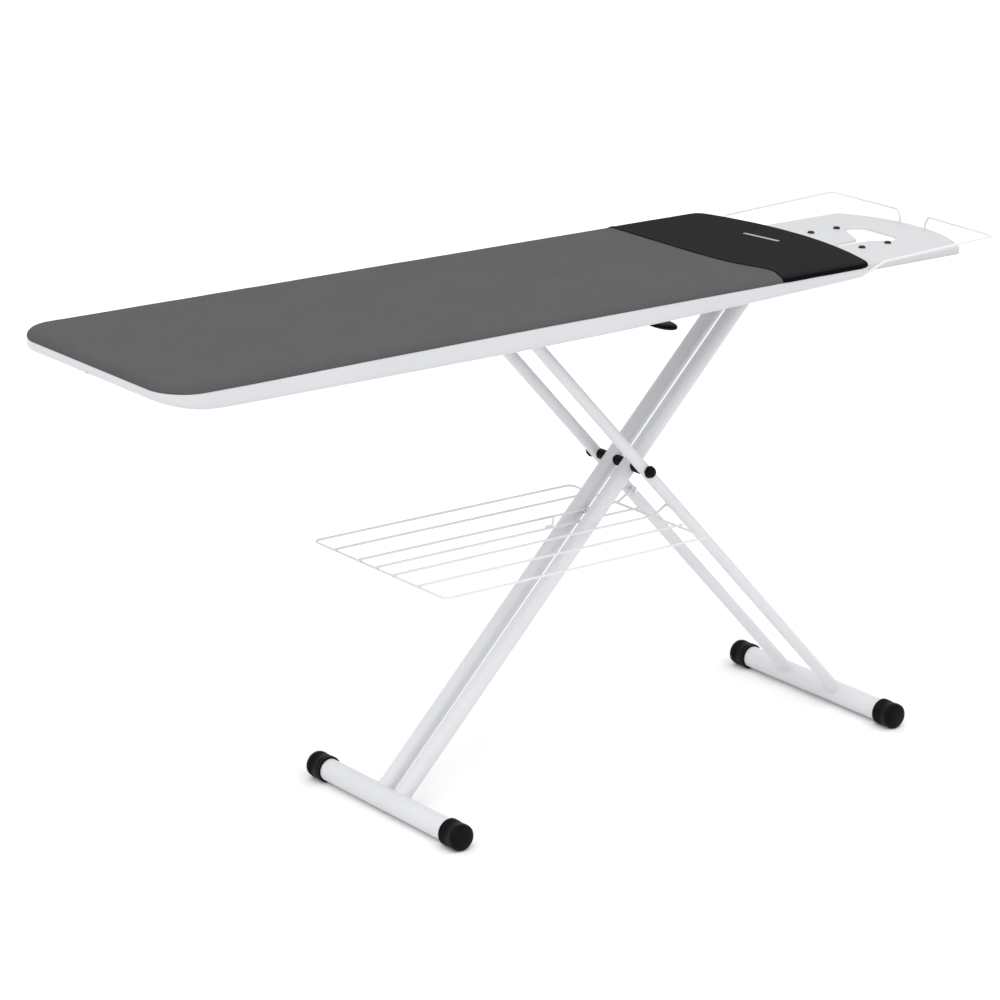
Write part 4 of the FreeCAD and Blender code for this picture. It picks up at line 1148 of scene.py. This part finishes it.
# Place along the lever, half width, half thickness, and height of its middle.
lever_shape = [(rod_y + 0.0080, 0.0004, 0.0004, rod_z), (rod_y + 0.0076, 0.0105, 0.0026, rod_z),
               (rod_y + 0.0060, 0.0115, 0.0054, rod_z), (rod_y + 0.0030, 0.0120, 0.0074, rod_z),
               (rod_y, 0.0120, 0.0080, rod_z), (rod_y - 0.0040, 0.0118, 0.0070, rod_z - 0.0002),
               (rod_y - 0.0085, 0.0104, 0.0050, rod_z - 0.0015),
               (rod_y - 0.0150, 0.0090, 0.0040, rod_z - 0.0028),
               (rod_y - 0.0500, 0.0082, 0.0037, rod_z - 0.0035),
               (rod_y - 0.0740, 0.0086, 0.0038, rod_z - 0.0045),
               (tip_y + 0.0700, 0.0110, 0.0042, leaf_z + 0.0010),
               (tip_y + 0.0580, 0.0155, 0.0044, leaf_z),
               (tip_y + 0.0460, 0.0182, 0.0045, leaf_z), (tip_y + 0.0350, 0.0189, 0.0045, leaf_z),
               (tip_y + 0.0240, 0.0178, 0.0045, leaf_z), (tip_y + 0.0140, 0.0146, 0.0043, leaf_z),
               (tip_y + 0.0070, 0.0106, 0.0038, leaf_z), (tip_y + 0.0024, 0.0062, 0.0029, leaf_z),
               (tip_y + 0.0004, 0.0025, 0.0016, leaf_z), (tip_y, 0.0004, 0.0004, leaf_z)]
LEAF_HALF_WIDTH = 0.0189
DISH_SHARE = 0.35              # how much thinner the paddle's middle is on top
LEVER_AROUND = 32
round_turn = np.linspace(0, 2 * math.pi, LEVER_AROUND, endpoint=False)
wide = np.sign(np.cos(round_turn)) * np.abs(np.cos(round_turn)) ** 0.75
deep = np.sign(np.sin(round_turn)) * np.abs(np.sin(round_turn)) ** 0.75
lever_rows = []
for y, half_width, half_depth, z in lever_shape:
    leafy = np.clip(half_width / LEAF_HALF_WIDTH - 0.6, 0, 1)
    finger_dish = np.where(deep > 0, 1 - DISH_SHARE * leafy * (1 - wide ** 2), 1.0)
    lever_rows.append(np.column_stack([lever_x + half_width * wide, np.full(LEVER_AROUND, y),
                                       z + half_depth * deep * finger_dish]))
lever_mesh = shaped_mesh("lever_body", np.array(lever_rows))
work = bmesh.new()
work.from_mesh(lever_mesh)
open_edges = [edge for edge in work.edges if edge.is_boundary]
bmesh.ops.holes_fill(work, edges=open_edges)
bmesh.ops.recalc_face_normals(work, faces=work.faces)
work.to_mesh(lever_mesh)
work.free()
hand_lever = finished_body("hand_lever", lever_mesh, black_nylon)
softened = hand_lever.modifiers.new("soft moulding", "SUBSURF")
softened.levels = 1
softened.render_levels = 1
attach(hand_lever, "release_lever")
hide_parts("release_lever")


# ---------------------------------------------------------------- Weld beads
# Each leg tube is welded all round to its foot bar, and each rack wire is spot-welded to the
# end bars it crosses.  The beads are painted with everything else.
WELD_BEAD, given = open_tree(
    "weld bead",
    {"Seam": "Geometry", "Bead Radius": "Float", "Ripple": "Float", "Finish": "Material"}, "Bead")
lumps = put(WELD_BEAD, "TexNoise", {"Scale": 380.0}).outputs["Fac"]
ripple = worked(WELD_BEAD, "MULTIPLY_ADD", lumps, given["Ripple"], given["Bead Radius"])
ring = put(WELD_BEAD, "GeometryNodeCurvePrimitiveCircle", {"Resolution": 8, "Radius": 1.0})
sized = put(WELD_BEAD, "GeometryNodeSetCurveRadius", {"Curve": given["Seam"], "Radius": ripple})
bead = put(WELD_BEAD, "GeometryNodeCurveToMesh",
           {"Curve": sized.outputs["Curve"], "Profile Curve": ring.outputs["Curve"]})
radius = put(WELD_BEAD, "GeometryNodeInputRadius")
WELD_BEAD.links.new(radius.outputs[0], bead.inputs["Scale"])
smooth = put(WELD_BEAD, "GeometryNodeSetShadeSmooth", {"Geometry": bead.outputs["Mesh"]})
close_tree(WELD_BEAD, smooth.outputs["Geometry"], given["Finish"], "Bead")

FOOT_BAR_R = 0.019
BEAD_R = 0.0013
BEAD_RIPPLE = 0.0012
SEAM_POINTS = 48


def leg_welds(name, leg_nodes, bar_node, body):
    """Beads where the two tubes of one leg pair meet their foot bar."""
    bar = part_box(bar_node)
    foot_x = (bar[0].x + bar[1].x) / 2
    foot_z = (bar[0].z + bar[1].z) / 2
    lean = Vector((pivot_x - foot_x, 0, pivot_z - foot_z)).normalized()
    upward = Vector((-lean.z, 0, lean.x))
    seams = bpy.data.curves.new(name + "_seams", "CURVE")
    seams.dimensions = "3D"
    for node in leg_nodes:
        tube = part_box(node)
        y = (tube[0].y + tube[1].y) / 2
        radius = (tube[1].y - tube[0].y) / 2
        spline = seams.splines.new("POLY")
        spline.points.add(SEAM_POINTS - 1)
        spline.use_cyclic_u = True
        for k, point in enumerate(spline.points):
            t = 2 * math.pi * k / SEAM_POINTS
            up_by = radius * math.sin(t)
            along_by = math.sqrt(FOOT_BAR_R ** 2 - up_by ** 2)
            on_axis = Vector((foot_x, y + radius * math.cos(t), foot_z))
            point.co = (*(on_axis + lean * along_by + upward * up_by), 1.0)
    beads = grown(name, linked(name + "_seams", seams), WELD_BEAD,
                  {"Bead Radius": BEAD_R, "Ripple": BEAD_RIPPLE, "Finish": lit_tube_coat})
    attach(beads, body)


leg_welds("inner_leg_welds", ("inner_leg_far", "inner_leg_near"), "left_foot_bar", "inner_legs")
leg_welds("outer_leg_welds", ("outer_leg_far", "outer_leg_near"), "right_foot_bar", "outer_legs")

RACK_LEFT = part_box("rack_end_bar_left")
RACK_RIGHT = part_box("rack_end_bar_right")
WIRE_R = 0.002
left_x = RACK_LEFT[0].x + WIRE_R
right_x = RACK_RIGHT[1].x - WIRE_R
between_z = RACK_LEFT[1].z
OUTER_WIRE_Y = 0.110
INNER_WIRE_Y = 0.046
outer_wires = (-OUTER_WIRE_Y, 0.0, OUTER_WIRE_Y)
spots = [(left_x, y, between_z) for y in sorted((*outer_wires, -INNER_WIRE_Y, INNER_WIRE_Y))]
spots += [(right_x, y, between_z) for y in outer_wires]
blob_rows = turned_rows([(0, -0.0019), (0.0012, -0.0016), (0.0021, -0.0008), (0.0024, 0.0),
                         (0.0021, 0.0008), (0.0012, 0.0016), (0, 0.0019)], around=10)
rack_welds = set_in_place("rack_welds", spots, [(0, 0, 1)] * len(spots), blob_rows, wire_coat,
                          size=1.1, spread=0.25)
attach(rack_welds, "laundry_rack")
